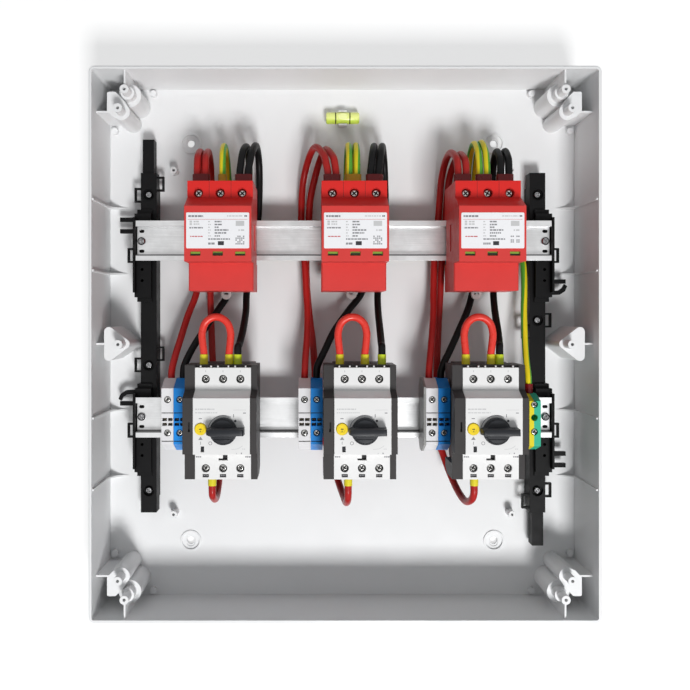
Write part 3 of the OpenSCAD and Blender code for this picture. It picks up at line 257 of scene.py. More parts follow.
MATERIALS = {
    "enclosure": plastic("enclosure_plastic", (0.790, 0.795, 0.800), rough=0.46, tint=0.012,
        grain=3200, grain_depth=0.06, edge=0.0005, specular=0.30, blotch=9),
    "black": plastic("support_plastic", (0.0040, 0.0040, 0.0044), rough=0.46, tint=0.25,
        grain=2400, grain_depth=0.10, edge=0.0003, specular=0.12),
    # Paler red below and deeper red above the nose's top edge; the deeper red is partly painted
    # shade on the up-facing slope.
    "red": split_plastic("arrester_plastic", (0.660, 0.052, 0.046), (0.690, 0.024, 0.020),
        at_mm=ARRESTER_SHADE_STEP, axis="Z", rough=0.42, specular=0.20),
    "label": plastic("label_film", (0.860, 0.860, 0.880), rough=0.30, tint=0.010, grain=4000,
        grain_depth=0.02, edge=0.0001, specular=0.3),
    "print_grey": plastic("label_print_grey", (0.240, 0.240, 0.255), rough=0.42, tint=0.10,
        grain=5000, grain_depth=0.02, edge=0),
    "print_dark": plastic("label_print_dark", (0.030, 0.030, 0.036), rough=0.42, tint=0.10,
        grain=5000, grain_depth=0.02, edge=0),
    "print_red": plastic("label_print_red", (0.520, 0.060, 0.070), rough=0.42, tint=0.10,
        grain=5000, grain_depth=0.02, edge=0),
    "print_faint": plastic("face_print_faint", (0.560, 0.560, 0.565), rough=0.42, tint=0.06,
        grain=5000, grain_depth=0.02, edge=0),
    "flag": plastic("flag_plastic", (0.230, 0.380, 0.050), rough=0.30, tint=0.10, grain=2000,
        grain_depth=0.02, edge=0.0002),
    # Painted shadow for the lower part of the flags in the arresters' windows.
    "flag_painted_shadow": plastic("flag_plastic_painted_shadow", (0.030, 0.045, 0.015), rough=0.30, tint=0.20,
        grain=2000, grain_depth=0.02, edge=0.0002),
    "latch_grey": plastic("latch_plastic", (0.420, 0.410, 0.400), rough=0.38, tint=0.06,
        grain=2400, grain_depth=0.05, edge=0.0004),
    "dark": plastic("breaker_plastic", (0.044, 0.041, 0.041), rough=0.48, tint=0.12, grain=2400,
        grain_depth=0.10, edge=0.0005, specular=0.15),
    "light": plastic("breaker_face_plastic", (0.770, 0.768, 0.762), rough=0.38, tint=0.014,
        grain=3200, grain_depth=0.05, edge=0.0004, specular=0.30),
    "knob": plastic("handle_plastic", (0.016, 0.018, 0.022), rough=0.42, tint=0.18, grain=2400,
        grain_depth=0.09, edge=0.0004, specular=0.22),
    "yellow": plastic("dial_plastic", (0.860, 0.640, 0.020), rough=0.36, tint=0.05, grain=2600,
        grain_depth=0.05, edge=0.0003),
    "grey_block": plastic("grey_block_plastic", (0.800, 0.795, 0.810), rough=0.42, tint=0.03,
        grain=2600, grain_depth=0.07, edge=0.0004),
    "blue": plastic("blue_block_plastic", (0.014, 0.280, 0.820), rough=0.36, tint=0.06,
        grain=2600, grain_depth=0.06, edge=0.0004),
    "plate": plastic("end_plate_plastic", (0.300, 0.300, 0.290), rough=0.34, tint=0.20,
        grain=700, grain_depth=0.30, edge=0.0003, specular=0.55),
    "earth_block": split_plastic("earth_block_plastic", (0.820, 0.690, 0.015),
        (0.035, 0.480, 0.300), at_mm=EARTH_SPLIT),
    # Dark sheets for painted shade in slots, screw wells and screw crosses, and the dark joints
    # between arrester modules.
    "socket": plastic("dark_joints_and_painted_shade", (0.010, 0.010, 0.011), rough=0.55, tint=0.3, grain=1500,
        grain_depth=0.05, edge=0),
    "ferrule": banded_plastic("ferrule_sleeve", (0.800, 0.690, 0.030), (0.620, 0.740, 0.030),
        centres=BLACK_FERRULES, half=FERRULE_HALF, rough=0.28),
    "collar": plastic("collar_sleeve", (0.170, 0.006, 0.008), rough=0.30, tint=0.12, grain=1800,
        grain_depth=0.05, edge=0.0003),
    "ochre": plastic("collar_sleeve_ochre", (0.560, 0.330, 0.010), rough=0.30, tint=0.12,
        grain=1800, grain_depth=0.05, edge=0.0003),
    "lead_red": plastic("insulation_red", (0.400, 0.014, 0.012), rough=0.34, tint=0.08,
        grain=900, grain_depth=0.03, edge=0, specular=0.22, blotch=60),
    "jumper_red": plastic("insulation_red_bright", (0.720, 0.040, 0.026), rough=0.30, tint=0.06,
        grain=900, grain_depth=0.03, edge=0, specular=0.30, blotch=60),
    "lead_black": plastic("insulation_black", (0.0060, 0.0060, 0.0064), rough=0.42, tint=0.20,
        grain=900, grain_depth=0.04, edge=0, specular=0.12, blotch=60),
    "lead_green": plastic("insulation_green", (0.090, 0.360, 0.035), rough=0.32, tint=0.08,
        grain=900, grain_depth=0.03, edge=0, specular=0.25, blotch=60),
    "lead_yellow": plastic("insulation_yellow", (0.800, 0.640, 0.015), rough=0.32, tint=0.06,
        grain=900, grain_depth=0.03, edge=0, specular=0.25, blotch=60),
    "vial": split_plastic("vial_spirit", (0.620, 0.800, 0.100), (0.880, 0.960, 0.300),
        at_mm=VIAL_LEVEL, axis="Z", rough=0.25, specular=0.4, blend=1.2),
    "vial_line": plastic("vial_line", (0.060, 0.080, 0.010), rough=0.3, tint=0.10, grain=2000,
        grain_depth=0.02, edge=0),
    "vial_bubble": plastic("vial_bubble", (0.900, 0.960, 0.420), rough=0.30, tint=0.04,
        grain=600, grain_depth=0.0, edge=0, specular=0.3),
    "zinc": metal("zinc_rail", (0.640, 0.645, 0.650), rough=0.34, stretch=(0.04, 1, 1),
        tint=0.15, edge=0.0002, depth=0.03, scale=700,
        shaded_bends=[row - RAIL_BEND_SHADE for row in RAIL_ROWS]),
    "screw": metal("zinc_screws", (0.340, 0.340, 0.350), rough=0.18, tint=0.48, edge=0.00015,
        depth=0.30, scale=650, blotch=420),
    # Lighter steel for the screw heads' raised quarters, a painted highlight.
    "screw_highlight": metal("screws_painted_highlight", (0.560, 0.555, 0.540), rough=0.20, tint=0.40, edge=0.0001,
        depth=0.20, scale=650, blotch=420),
    "bridge": metal("bridge_contacts", (0.200, 0.170, 0.120), rough=0.34, tint=0.12, edge=0.0001,
        depth=0.1, scale=700),
}


# ---------------------------------------------------------------- geometry
def w(x, y, z):
    """A point of the wall frame in the part's own axes, in metres."""
    return Vector((x / 1000, -z / 1000, y / 1000))


def on_rail(x, row):
    """Turns a device's own place on its rail into a point of the wall frame."""
    return lambda a, b, c: w(x + a, RAIL_ROWS[row] + b, RAIL_FRONT + c)


def shifted(at, x, y, z=0):
    return lambda a, b, c: at(x + a, y + b, z + c)


def piece(name, bm, mats, body="box", smooth=35, replaces=()):
    """Makes the object, gives it its materials and lets it ride its body."""
    bmesh.ops.recalc_face_normals(bm, faces=bm.faces)
    mesh = bpy.data.meshes.new(name)
    bm.to_mesh(mesh)
    bm.free()
    obj = bpy.data.objects.new(name, mesh)
    bpy.context.scene.collection.objects.link(obj)
    for key in mats:
        mesh.materials.append(MATERIALS[key])
    if smooth:
        for face in mesh.polygons:
            face.use_smooth = True
        mesh.set_sharp_from_angle(angle=math.radians(smooth))
    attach(obj, body)
    if replaces:
        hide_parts(*replaces)
    return obj


def prism(bm, outline, z0, z1, place, material=0, bevel=0.0, segments=2):
    """An outline in x and y raised from z0 to z1, with the edges of its top rounded."""
    part = bmesh.new()
    low = [part.verts.new(place(x, y, z0)) for x, y in outline]
    high = [part.verts.new(place(x, y, z1)) for x, y in outline]
    count = len(outline)
    part.faces.new(low[::-1])
    top = part.faces.new(high)
    for i in range(count):
        part.faces.new((low[i], low[(i + 1) % count], high[(i + 1) % count], high[i]))
    if bevel:
        bmesh.ops.bevel(part, geom=list(top.edges), offset=bevel / 1000, segments=segments,
                        profile=0.5, affect="EDGES", clamp_overlap=True)
    join(bm, part, material)


def join(bm, part, material=None):
    """Adds a finished piece of mesh to the one being built, in one material or in its own."""
    bmesh.ops.recalc_face_normals(part, faces=part.faces)
    made = {v: bm.verts.new(v.co) for v in part.verts}
    for f in part.faces:
        face = bm.faces.new([made[v] for v in f.verts])
        face.material_index = f.material_index if material is None else material
    part.free()


def lathe(bm, profile, place, sides=48, material=0):
    """A profile of radius and height turned about the z axis; place puts it into the part."""
    part = bmesh.new()
    rings = []
    for r, z in profile:
        if r < 1e-6:
            rings.append([part.verts.new(place(0, 0, z))])
        else:
            turns = [2 * math.pi * k / sides for k in range(sides)]
            rings.append([part.verts.new(place(r * math.cos(a), r * math.sin(a), z))
                          for a in turns])
    for a, b in zip(rings, rings[1:]):
        for k in range(sides):
            m = (k + 1) % sides
            if len(a) == 1:
                part.faces.new((a[0], b[k], b[m]))
            elif len(b) == 1:
                part.faces.new((a[k], a[m], b[0]))
            else:
                part.faces.new((a[k], a[m], b[m], b[k]))
    join(bm, part, material)


def box(bm, x0, x1, y0, y1, z0, z1, place, material=0, bevel=0.0):
    prism(bm, [(x0, y0), (x1, y0), (x1, y1), (x0, y1)], z0, z1, place, material, bevel)


def ribbon(bm, points, width, z, place, material=0, thick=INK):
    """A printed line: a thin band of ink along points in x and y."""
    left, right = [], []
    for i, p in enumerate(points):
        a = Vector(points[max(i - 1, 0)])
        b = Vector(points[min(i + 1, len(points) - 1)])
        t = (b - a).normalized()
        n = Vector((-t.y, t.x)) * width / 2
        left.append((p[0] + n.x, p[1] + n.y))
        right.append((p[0] - n.x, p[1] - n.y))
    part = bmesh.new()
    rows = [[part.verts.new(place(x, y, h)) for x, y in side]
            for side in (left, right) for h in (z, z + thick)]
    last = len(points) - 1
    for i in range(last):
        part.faces.new((rows[1][i], rows[3][i], rows[3][i + 1], rows[1][i + 1]))
        part.faces.new((rows[0][i], rows[1][i], rows[1][i + 1], rows[0][i + 1]))
        part.faces.new((rows[2][i], rows[3][i], rows[3][i + 1], rows[2][i + 1]))
        part.faces.new((rows[0][i], rows[2][i], rows[2][i + 1], rows[0][i + 1]))
    for i in (0, last):
        part.faces.new((rows[0][i], rows[1][i], rows[3][i], rows[2][i]))
    join(bm, part, material)


def arc(cx, cy, r, start, end, steps=24):
    return [(cx + r * math.cos(math.radians(start + (end - start) * i / steps)),
             cy + r * math.sin(math.radians(start + (end - start) * i / steps)))
            for i in range(steps + 1)]


def rounded(points, r, steps=4):
    """An outline with every corner rounded by the same radius."""
    out = []
    count = len(points)
    for i in range(count):
        b = Vector(points[i])
        u = (Vector(points[i - 1]) - b).normalized()
        v = (Vector(points[(i + 1) % count]) - b).normalized()
        half = math.acos(max(-1, min(1, u.dot(v)))) / 2
        centre = b + (u + v).normalized() * r / math.sin(half)
        start = b + u * r / math.tan(half) - centre
        end = b + v * r / math.tan(half) - centre
        a0 = math.atan2(start.y, start.x)
        turn = (math.atan2(end.y, end.x) - a0 + math.pi) % (2 * math.pi) - math.pi
        for k in range(steps + 1):
            a = a0 + turn * k / steps
            out.append((centre.x + r * math.cos(a), centre.y + r * math.sin(a)))
    return out


def smooth_route(points, steps):
    """A smooth curve through the points, as the part's source draws it."""
    pts = [Vector(p) for p in points]
    out = []
    last = len(pts) - 1
    for i in range(last):
        a, b, c, d = pts[max(i - 1, 0)], pts[i], pts[i + 1], pts[min(i + 2, last)]
        for s in range(steps):
            t = s / steps
            out.append(0.5 * (2 * b + (c - a) * t + (2 * a - 5 * b + 4 * c - d) * t * t
                              + (3 * b - a - 3 * c + d) * t * t * t))
    out.append(pts[last])
    return out


def cable(bm, points, d, sides=20, steps=6, twist=0.0, bands=None):
    """Sweeps a round lead along its route, with twist in turns per metre.

    bands gives the material of a share of the way round."""
    path = smooth_route(points, steps)
    side = Vector((1, 0, 0))
    run = 0.0
    rings = []
    part = bmesh.new()
    for i, p in enumerate(path):
        t = (path[min(i + 1, len(path) - 1)] - path[max(i - 1, 0)]).normalized()
        side = (side - side.dot(t) * t).normalized()
        other = t.cross(side)
        if i:
            run += (p - path[i - 1]).length
        turn = 2 * math.pi * twist * run / 1000
        angles = [turn + 2 * math.pi * k / sides for k in range(sides)]
        rings.append([part.verts.new(w(*(p + d / 2 * (side * math.cos(a) + other * math.sin(a)))))
                      for a in angles])
    part.faces.new(rings[0])
    part.faces.new(rings[-1][::-1])
    for a, b in zip(rings, rings[1:]):
        for k in range(sides):
            m = (k + 1) % sides
            f = part.faces.new((a[k], b[k], b[m], a[m]))
            f.material_index = bands(k / sides) if bands else 0
    join(bm, part)


# ---------------------------------------------------------------- leads
# The same control points as in the part's source.
RED_ROUTES = [
    [[[-124.3, 137, 62], [-124.3, 143.5, 62], [-124.4, 151.5, 60.6], [-124.6, 160, 55],
      [-124.6, 166.5, 38], [-125, 160, 21], [-125.5, 143, 14], [-127, 115, 13.5],
      [-129, 90, 13.5], [-130.5, 65, 14], [-131.3, 45, 17], [-138, 24, 24], [-142.5, 6, 32],
      [-147, -12, 39], [-149.1, -24, 42.6], [-149.25, -37, 43]],
     [[-117.5, 137, 62], [-117.5, 143.5, 62], [-117.6, 151.5, 60.6], [-117.9, 160, 55],
      [-118, 166.5, 38], [-118.3, 160, 21], [-118.5, 143, 14], [-119, 115, 13.5],
      [-119.2, 90, 13.5], [-119.3, 65, 13.5], [-119.2, 40, 13.5], [-118.3, 10, 13.5],
      [-117, -20, 13.5], [-114.5, -50, 13.5], [-112, -80, 14], [-110.6, -104, 16.5],
      [-110, -120, 26], [-109.8, -129.5, 42], [-109.6, -131, 58], [-109.5, -126, 73],
      [-109.45, -121.8, 79.2], [-109.45, -115.8, 80], [-109.45, -109, 80]]],
    [[[-14.3, 137, 62], [-14.3, 143.5, 62], [-15.6, 151.5, 60.6], [-18, 161, 56], [-25, 170, 42],
      [-31, 162, 26], [-36, 142, 15.5], [-37.4, 113, 14], [-36.5, 90, 17], [-34.3, 72, 18.6],
      [-32.8, 45, 20], [-31.8, 28, 24], [-32, 8, 31], [-33.4, -12, 39], [-34, -24, 42.6],
      [-34.05, -37, 43]],
     [[-7.5, 137, 62], [-7.5, 143.5, 62], [-8.4, 151.5, 60.6], [-10, 159, 57], [-15.8, 168, 42],
      [-20.5, 162, 27], [-25, 148, 18], [-29, 130, 14.5], [-30.4, 113, 14], [-31.5, 90, 12.4],
      [-33, 72, 11.6], [-32, 45, 12], [-29.5, 20, 13], [-27, 0, 14], [-25.5, -20, 14],
      [-24, -45, 14], [-20, -75, 14], [-12, -100, 15], [-7.5, -113, 19], [-3.5, -125, 29],
      [-0.5, -132, 42], [1.2, -134, 58], [1.8, -128, 73], [1.85, -121.8, 79.2],
      [1.85, -115.8, 80], [1.85, -109, 80]]],
    [[[95.3, 137, 62], [95.3, 143.5, 62], [95, 151.5, 60.6], [94.5, 159, 55], [92.5, 165.5, 40],
      [90.5, 160, 24], [88.6, 146, 15.5], [87.2, 128, 14], [86.1, 112, 14], [84, 90, 14.5],
      [82, 72, 16], [81, 45, 18], [80.3, 29, 23], [78, 8, 31], [75, -12, 39], [73.5, -24, 42.6],
      [73.25, -37, 43]],
     [[102.1, 137, 62], [102.1, 143.5, 62], [102, 151.5, 60.6], [101.7, 158, 55],
      [100.5, 164, 40], [98, 158, 24], [95.6, 146, 15.5], [93.8, 128, 14], [92.8, 112, 14],
      [91, 90, 14], [89, 72, 14], [87.8, 45, 14], [86.5, 20, 13.5], [85.4, -5, 13.5],
      [84.5, -33, 13.5], [83.5, -60, 13.5], [85, -84, 14], [90.5, -102, 16], [95.5, -118, 26],
      [99.5, -129, 42], [102.6, -133, 58], [104.5, -128, 73], [105.05, -121.8, 79.2],
      [105.05, -115.8, 80], [105.05, -109, 80]]]]
BLACK_ROUTES = [
    [[[-88.5, 137, 62], [-88.5, 143.5, 62], [-87.8, 151.5, 60.6], [-86.5, 164, 54],
      [-84.5, 171, 38], [-84, 163, 21], [-84.5, 143, 14], [-88, 115, 14], [-94, 90, 14],
      [-99, 65, 15], [-102.4, 45, 18], [-110.5, 30, 24], [-121, 14, 31], [-131, -3, 38],
      [-137.5, -17, 42], [-138.95, -25, 43], [-138.95, -37, 43]],
     [[-81.7, 137, 62], [-81.7, 143.5, 62], [-80.6, 151.5, 60.6], [-78.5, 164, 54],
      [-76.4, 172, 38], [-75.2, 163, 21], [-75, 143, 14], [-76, 115, 14], [-79, 90, 14],
      [-83, 65, 15], [-86, 45, 20], [-85.6, 28, 34], [-86.3, 12, 56], [-87.7, 1, 73],
      [-88.4, -1.5, 78.9], [-88.55, -6.8, 80], [-88.55, -13.4, 80]]],
    [[[21.5, 137, 62], [21.5, 143.5, 62], [22.4, 151.5, 60.6], [24, 163, 55], [26.5, 171.5, 38],
      [28, 163, 21], [28.5, 146, 14], [27.5, 115, 14], [25, 90, 14], [21, 65, 15], [17, 45, 18],
      [5, 29, 24], [-8, 11, 31], [-17, -7, 38], [-22.8, -19, 42.3], [-23.75, -27, 43],
      [-23.75, -37, 43]],
     [[28.3, 137, 62], [28.3, 143.5, 62], [29.2, 151.5, 60.6], [31, 163, 55], [33.6, 171.5, 38],
      [36.5, 163, 21], [38, 146, 14], [38.5, 115, 14], [37, 90, 14], [34, 65, 15], [31, 45, 20],
      [30.2, 28, 34], [30, 12, 56], [29.7, 1, 73], [29.6, -1.5, 78.9], [29.55, -6.8, 80],
      [29.55, -13.4, 80]]],
    [[[131.1, 137, 62], [131.1, 143.5, 62], [131.3, 151.5, 60.6], [131.8, 159, 55],
      [132.6, 166.5, 40], [133.6, 160, 24], [134.2, 146, 15.5], [132, 120, 14], [127, 95, 14],
      [121, 70, 15], [116, 45, 18], [110.5, 29, 24], [101, 10, 31], [92, -7, 38],
      [85.5, -19, 42.3], [83.6, -27, 43], [83.55, -37, 43]],
     [[137.9, 137, 62], [137.9, 143.5, 62], [138.2, 151.5, 60.6], [138.8, 159, 55],
      [139.6, 166.8, 40], [140.5, 160, 24], [141, 146, 15.5], [140.5, 120, 14], [138.5, 95, 14],
      [136, 70, 15], [134.3, 45, 20], [132.5, 28, 34], [130, 12, 56], [127.4, 1, 73],
      [126.2, -1.5, 78.9], [125.95, -6.8, 80], [125.95, -13.4, 80]]]]
EARTH_ROUTES = [
    [[-103, 137, 62], [-103, 143.5, 62], [-103.2, 151.5, 60.6], [-103.6, 164, 54],
     [-103.9, 171.5, 38], [-103.6, 164, 21], [-103, 146, 12], [-102, 125, 8], [-97, 105, 6.4],
     [-84, 92, 6.4], [-60, 88, 6.4], [-25, 88, 6.4], [-8, 93, 6.4], [0, 106, 6.4], [3, 125, 8],
     [3.4, 146, 12], [3.6, 164, 21], [3.8, 172, 38], [3.8, 164, 54], [3.8, 151.5, 60.6],
     [3.8, 143.5, 62], [3.8, 137, 62]],
    [[10.2, 137, 62], [10.2, 143.5, 62], [10.2, 151.5, 60.6], [10.3, 164, 54], [10.4, 172, 38],
     [10.6, 164, 21], [10.8, 146, 12], [12, 125, 8], [17, 105, 6.4], [30, 92, 6.4],
     [55, 88, 6.4], [80, 88, 6.4], [97, 93, 6.4], [108, 106, 6.4], [112.4, 125, 8],
     [112.8, 146, 12], [113, 165, 21], [113.2, 173.5, 38], [113.4, 165, 54],
     [113.4, 151.5, 60.6], [113.4, 143.5, 62], [113.4, 137, 62]],
    [[119.8, 137, 62], [119.8, 143.5, 62], [119.7, 151.5, 60.6], [119.6, 165, 54],
     [119.2, 174.5, 38], [119.2, 165, 21], [119.3, 146, 12], [120, 128, 8.4], [124, 114, 6.4],
     [133, 103, 6.4], [146, 95, 6.4], [155, 88, 8], [160.5, 79, 12], [162.2, 68, 16],
     [161.6, 47, 21], [160, 27, 26], [159, 3, 33], [158.4, -14, 40], [158.7, -26, 44.5],
     [159, -33, 45], [159, -39, 45]]]
JUMPER_ROUTE = [
    [-17.25, -13.4, 80], [-17.25, -6.8, 80], [-18.2, 2, 80.5], [-18.6, 10, 81],
    [-16.4, 17.5, 81.5], [-11.8, 21.8, 82], [-6.925, 23, 82], [-2.05, 21.8, 82],
    [2.55, 17.5, 81.5], [4.7, 10, 81], [4.3, 2, 80.5], [3.4, -6.8, 80], [3.4, -13.4, 80]]


def lead(name, routes, d, mats, slot, replaces, **options):
    bm = bmesh.new()
    for route in routes:
        cable(bm, route, d, **options)
    return piece(name, bm, mats, smooth=50, replaces=replaces)


for i in range(3):
    n = i + 1
    lead(f"leads_red_pair_{n}", RED_ROUTES[i], LEAD_D, ["lead_red"], "lead_red",
         [f"leads_red_{n}"])
    lead(f"leads_black_pair_{n}", BLACK_ROUTES[i], LEAD_D, ["lead_black"], "lead_black",
         [f"leads_black_{n}"])
    lead(f"jumper_loop_{n}", [[[x + BREAKERS[i], y, z] for x, y, z in JUMPER_ROUTE]], LEAD_D,
         ["jumper_red"], "lead_red", [f"jumper_{n}"])
    lead(f"earth_wire_{n}", [EARTH_ROUTES[i]], EARTH_LEAD_D, ["lead_green", "lead_yellow"],
         "lead_earth", [f"lead_earth_{n}"], sides=24, twist=2.2,
         bands=lambda share: 1 if share % 0.5 < 0.24 else 0)


# ---------------------------------------------------------------- materials of the CAD nodes
def dress(names, key):
    """Gives CAD nodes their material."""
    for name in names:
        obj = cad[name]
        obj.data.materials.clear()
        obj.data.materials.append(MATERIALS[key])


def each(pattern):
    return [pattern.format(i) for i in (1, 2, 3)]


dress(["enclosure_base"], "enclosure")
dress(["rail_upper", "rail_lower"], "zinc")
dress(["rail_screws", "support_screws"], "screw")
dress(["rail_support_left", "rail_support_right"], "black")
dress(each("arrester_{}"), "red")
dress(each("arrester_{}_latch"), "latch_grey")
dress(["arrester_labels"], "label")
dress(["arrester_flags"], "flag")
dress(each("breaker_{}_housing"), "dark")
dress(each("breaker_{}_latch"), "dark")
dress(each("breaker_{}_face"), "light")
dress(each("breaker_{}_test_key"), "knob")
dress(each("terminal_grey_{}"), "grey_block")
dress(each("terminal_blue_{}"), "blue")
dress(["terminal_end_plate"], "plate")
dress(["earth_terminal"], "earth_block")
dress(["lead_ferrules"], "ferrule")
dress(["lead_collars"], "collar")
dress(["earth_collars"], "ochre")


# ---------------------------------------------------------------- level vial
def vial():
    """A spirit level: a round tube with a bubble between two ring lines, drawn as one tube."""
    r = 5.2
    y, z = 202.8, 10.4

    def place(a, b, c):
        return w(c, y + a, z + b)

    bm = bmesh.new()
    lathe(bm, [(0, -15), (r - 1.2, -15), (r - 0.4, -14.6), (r, -13.6), (r, 13.6), (r - 0.4, 14.6),
               (r - 1.2, 15), (0, 15)], place, 48, 0)
    for x in (-6.4, 6.4):
        ring = [(r, x - 0.55), (r + 0.05, x - 0.5), (r + 0.05, x + 0.5), (r, x + 0.55)]
        lathe(bm, ring, place, 48, 1)
    bubble = bmesh.new()
    bmesh.ops.create_uvsphere(bubble, u_segments=32, v_segments=16, radius=1)
    for v in bubble.verts:
        v.co = w(v.co.x * 4.4, y + 0.6 + v.co.y * 2.9, z + r - 0.25 + v.co.z * 0.5)
    join(bm, bubble, 2)
    return piece("vial_tube", bm, ["vial", "vial_line", "vial_bubble"],
                 replaces=["level_vial"])


vial()


# ---------------------------------------------------------------- breakers
def loft(bm, outlines, place, material=0):
    """Joins outlines of the same number of points, each at its own height, into a closed form."""
    part = bmesh.new()
    rings = [[part.verts.new(place(x, y, z)) for x, y in outline] for z, outline in outlines]
    count = len(rings[0])
    for a, b in zip(rings, rings[1:]):
        for k in range(count):
            m = (k + 1) % count
            part.faces.new((a[k], a[m], b[m], b[k]))
    part.faces.new(rings[0][::-1])
    part.faces.new(rings[-1])
    join(bm, part, material)


def grip_outline(left, left_w, mid_w, right, right_w, r):
    """The grip from above: half widths at its two ends and in its middle."""
    lower = [(-left, -left_w), (-8.8, -mid_w), (8.0, -mid_w), (10.8, -right_w), (right, -right_w)]
    return rounded(lower + [(x, -y) for x, y in lower[::-1]], r)


def handle(i):
    """Rotary handle: a stepped disc, and a tapered grip that overhangs it to the right."""
    place = shifted(on_rail(BREAKERS[i], 1), *HANDLE)
    bm = bmesh.new()
    lathe(bm, [(0, 0.4), (10.6, 0.4), (10.8, 0.7), (10.8, 2.6), (10.5, 3.0), (9.5, 3.1), (9.2, 3.4),
               (9.2, 4.2), (8.9, 4.6), (7.0, 4.75), (0, 4.9)], place, 64, 0)
    loft(bm, [(1.4, grip_outline(12.9, 2.4, 4.0, 16.8, 3.0, 0.7)),
              (4.4, grip_outline(12.8, 2.3, 3.8, 16.7, 2.9, 0.7)),
              (9.0, grip_outline(12.5, 1.9, 3.3, 16.5, 2.7, 0.6)),
              (11.2, grip_outline(12.2, 1.6, 2.9, 16.2, 2.5, 0.5)),
              (11.8, grip_outline(11.9, 1.4, 2.6, 15.9, 2.2, 0.4)),
              (12.0, grip_outline(11.5, 1.1, 2.2, 15.5, 1.8, 0.3))], place, 0)
    ribs_r = 9.95
    for k in range(-5, 6):
        a = math.radians(-90 + k * 9)
        cx, cy = ribs_r * math.cos(a), ribs_r * math.sin(a)
        t = Vector((-math.sin(a), math.cos(a))) * 0.35
        u = Vector((math.cos(a), math.sin(a))) * 0.45
        prism(bm, [(cx - t.x - u.x, cy - t.y - u.y), (cx + t.x - u.x, cy + t.y - u.y),
                   (cx + t.x + u.x, cy + t.y + u.y), (cx - t.x + u.x, cy - t.y + u.y)],
              2.9, 3.45, place, 0, 0.12, 1)
    box(bm, -6.5, 6.0, -6.6, -6.0, 4.5, 5.0, place, 0, 0.15)
    return piece(f"rotary_handle_{i + 1}", bm, ["knob"], f"handle_{i + 1}",
                 replaces=[f"breaker_{i + 1}_handle"])


def dial(i):
    """Yellow setting dial with a knurled edge, a screwdriver slot drawn as a dark bar of painted
    shade, and a small pointer dot.
    """
    place = shifted(on_rail(BREAKERS[i], 1), *DIAL)
    bm = bmesh.new()
    teeth, tip_r, tooth = 30, 4.8, 0.22
    edge = []
    for k in range(2 * teeth):
        a = math.pi * k / teeth
        edge.append(tuple((tip_r - (tooth if k % 2 else 0)) * Vector((math.cos(a), math.sin(a)))))
    prism(bm, edge, -1.4, 0.7, place)
    lathe(bm, [(0, 0.6), (4.45, 0.6), (4.45, 0.95), (4.2, 1.2), (2.6, 1.2), (2.35, 0.95), (0, 0.9)],
          place, 48, 0)
    # Painted shade: the screwdriver slot is a dark bar on the face.
    box(bm, -1.0, 1.0, -0.35, 0.35, 0.9, 0.98, place, 1)
    lathe(bm, [(0, 0.9), (0.42, 0.9), (0.42, 0.98), (0, 0.98)], shifted(place, 0, -1.6), 16, 1)
    return piece(f"setting_dial_{i + 1}", bm, ["yellow", "knob"], f"dial_{i + 1}",
                 replaces=[f"breaker_{i + 1}_dial"])


def bars(bm, place, z, y, height, spans, material=0):
    """A line of print as short plain bars."""
    for a, b in spans:
        box(bm, a, b, y - height / 2, y + height / 2, z, z + INK, place, material)


def words(start, end, seed):
    """Splits a stretch into bars of uneven length, the same for the same seed."""
    out, x, k = [], start, seed
    while x < end - 0.5:
        k = (k * 37 + 11) % 53
        step = min(1.1 + (k % 5) * 0.5, end - x)
        out.append((x, x + step))
        x += step + 0.45
    return out


BREAKER_TERMINALS = (-BREAKER_POLE, 0, BREAKER_POLE)
BREAKER_SCREW_ROWS = (38.4, -33.1)


def breaker_print(i):
    """Marks on the light front: the handle's arc with I and O, a pointer, and faint plain bars."""
    at = on_rail(BREAKERS[i], 1)
    top, low = BREAKER_NOSE, BREAKER_SHOULDER
    grey, dark, faint = 0, 1, 2
    bm = bmesh.new()
    # The handle's arc, I, O and the dot between them.
    ribbon(bm, arc(*HANDLE[:2], 12.3, 166, 62, 40), 0.62, top, at, grey)
    box(bm, 9.35, 9.95, 9.2, 11.8, top, top + INK, at, grey)
    ribbon(bm, arc(-8.65, -11.2, 1.25, 0, 360, 32), 0.42, top, at, grey)
    lathe(bm, [(0, 0), (0.95, 0), (0.95, INK), (0, INK)], shifted(at, 11.0, 6.4, top), 24, dark)
    # The dial's pointer below it, and a bar above it.
    prism(bm, [(-18.1, -8.5), (-14.6, -8.5), (-16.3, -5.9)], top, top + INK, at, grey)
    ribbon(bm, [(-15.9, -9.9), (-16.35, -10.2), (-16.35, -12.3)], 0.42, top, at, grey)
    box(bm, -17.7, -15.2, 7.9, 8.6, top, top + INK, at, grey)
    # Lines of print on the nose.
    bars(bm, at, top, 15.6, 1.0, words(-20.6, -5.4, 3 + i), faint)
    bars(bm, at, top, 12.8, 0.8, words(-20.6, -2.6, 9 + i), faint)
    bars(bm, at, top, 15.0, 0.25, [(9.4, 19.4)], faint)
    bars(bm, at, top, 12.6, 0.7, [(17.1, 19.3)], grey)
    curve = [(7.9, -15.9), (10.4, -15.85), (12.9, -15.5), (14.8, -14.5), (16.7, -13.1)]
    ribbon(bm, curve, 0.3, top, at, faint)
    bars(bm, at, top, -15.7, 0.6, [(16.3, 17.2), (17.6, 18.7)], faint)
    bars(bm, at, top, -19.2, 0.9, [(11.6, 12.3)], faint)
    bars(bm, at, top, -19.1, 1.1, [(15.4, 16.2)], grey)
    # Marks on the shoulders, beside the lower terminals and over the upper ones.
    bars(bm, at, low, -23.9, 1.1, [(-21.6, -20.3), (-20.0, -18.9), (-18.6, -17.5)], grey)
    bars(bm, at, low, -23.9, 1.1, [(17.8, 18.9), (19.2, 20.3), (20.6, 22.2)], grey)
    for x in BREAKER_TERMINALS:
        bars(bm, at, low, 44.6, 1.5, [(x - 0.35, x + 0.35)], faint)
    return piece(f"breaker_marks_{i + 1}", bm, ["print_grey", "print_dark", "print_faint"],
                 smooth=0)


for i in range(3):
    handle(i)
    dial(i)
    breaker_print(i)


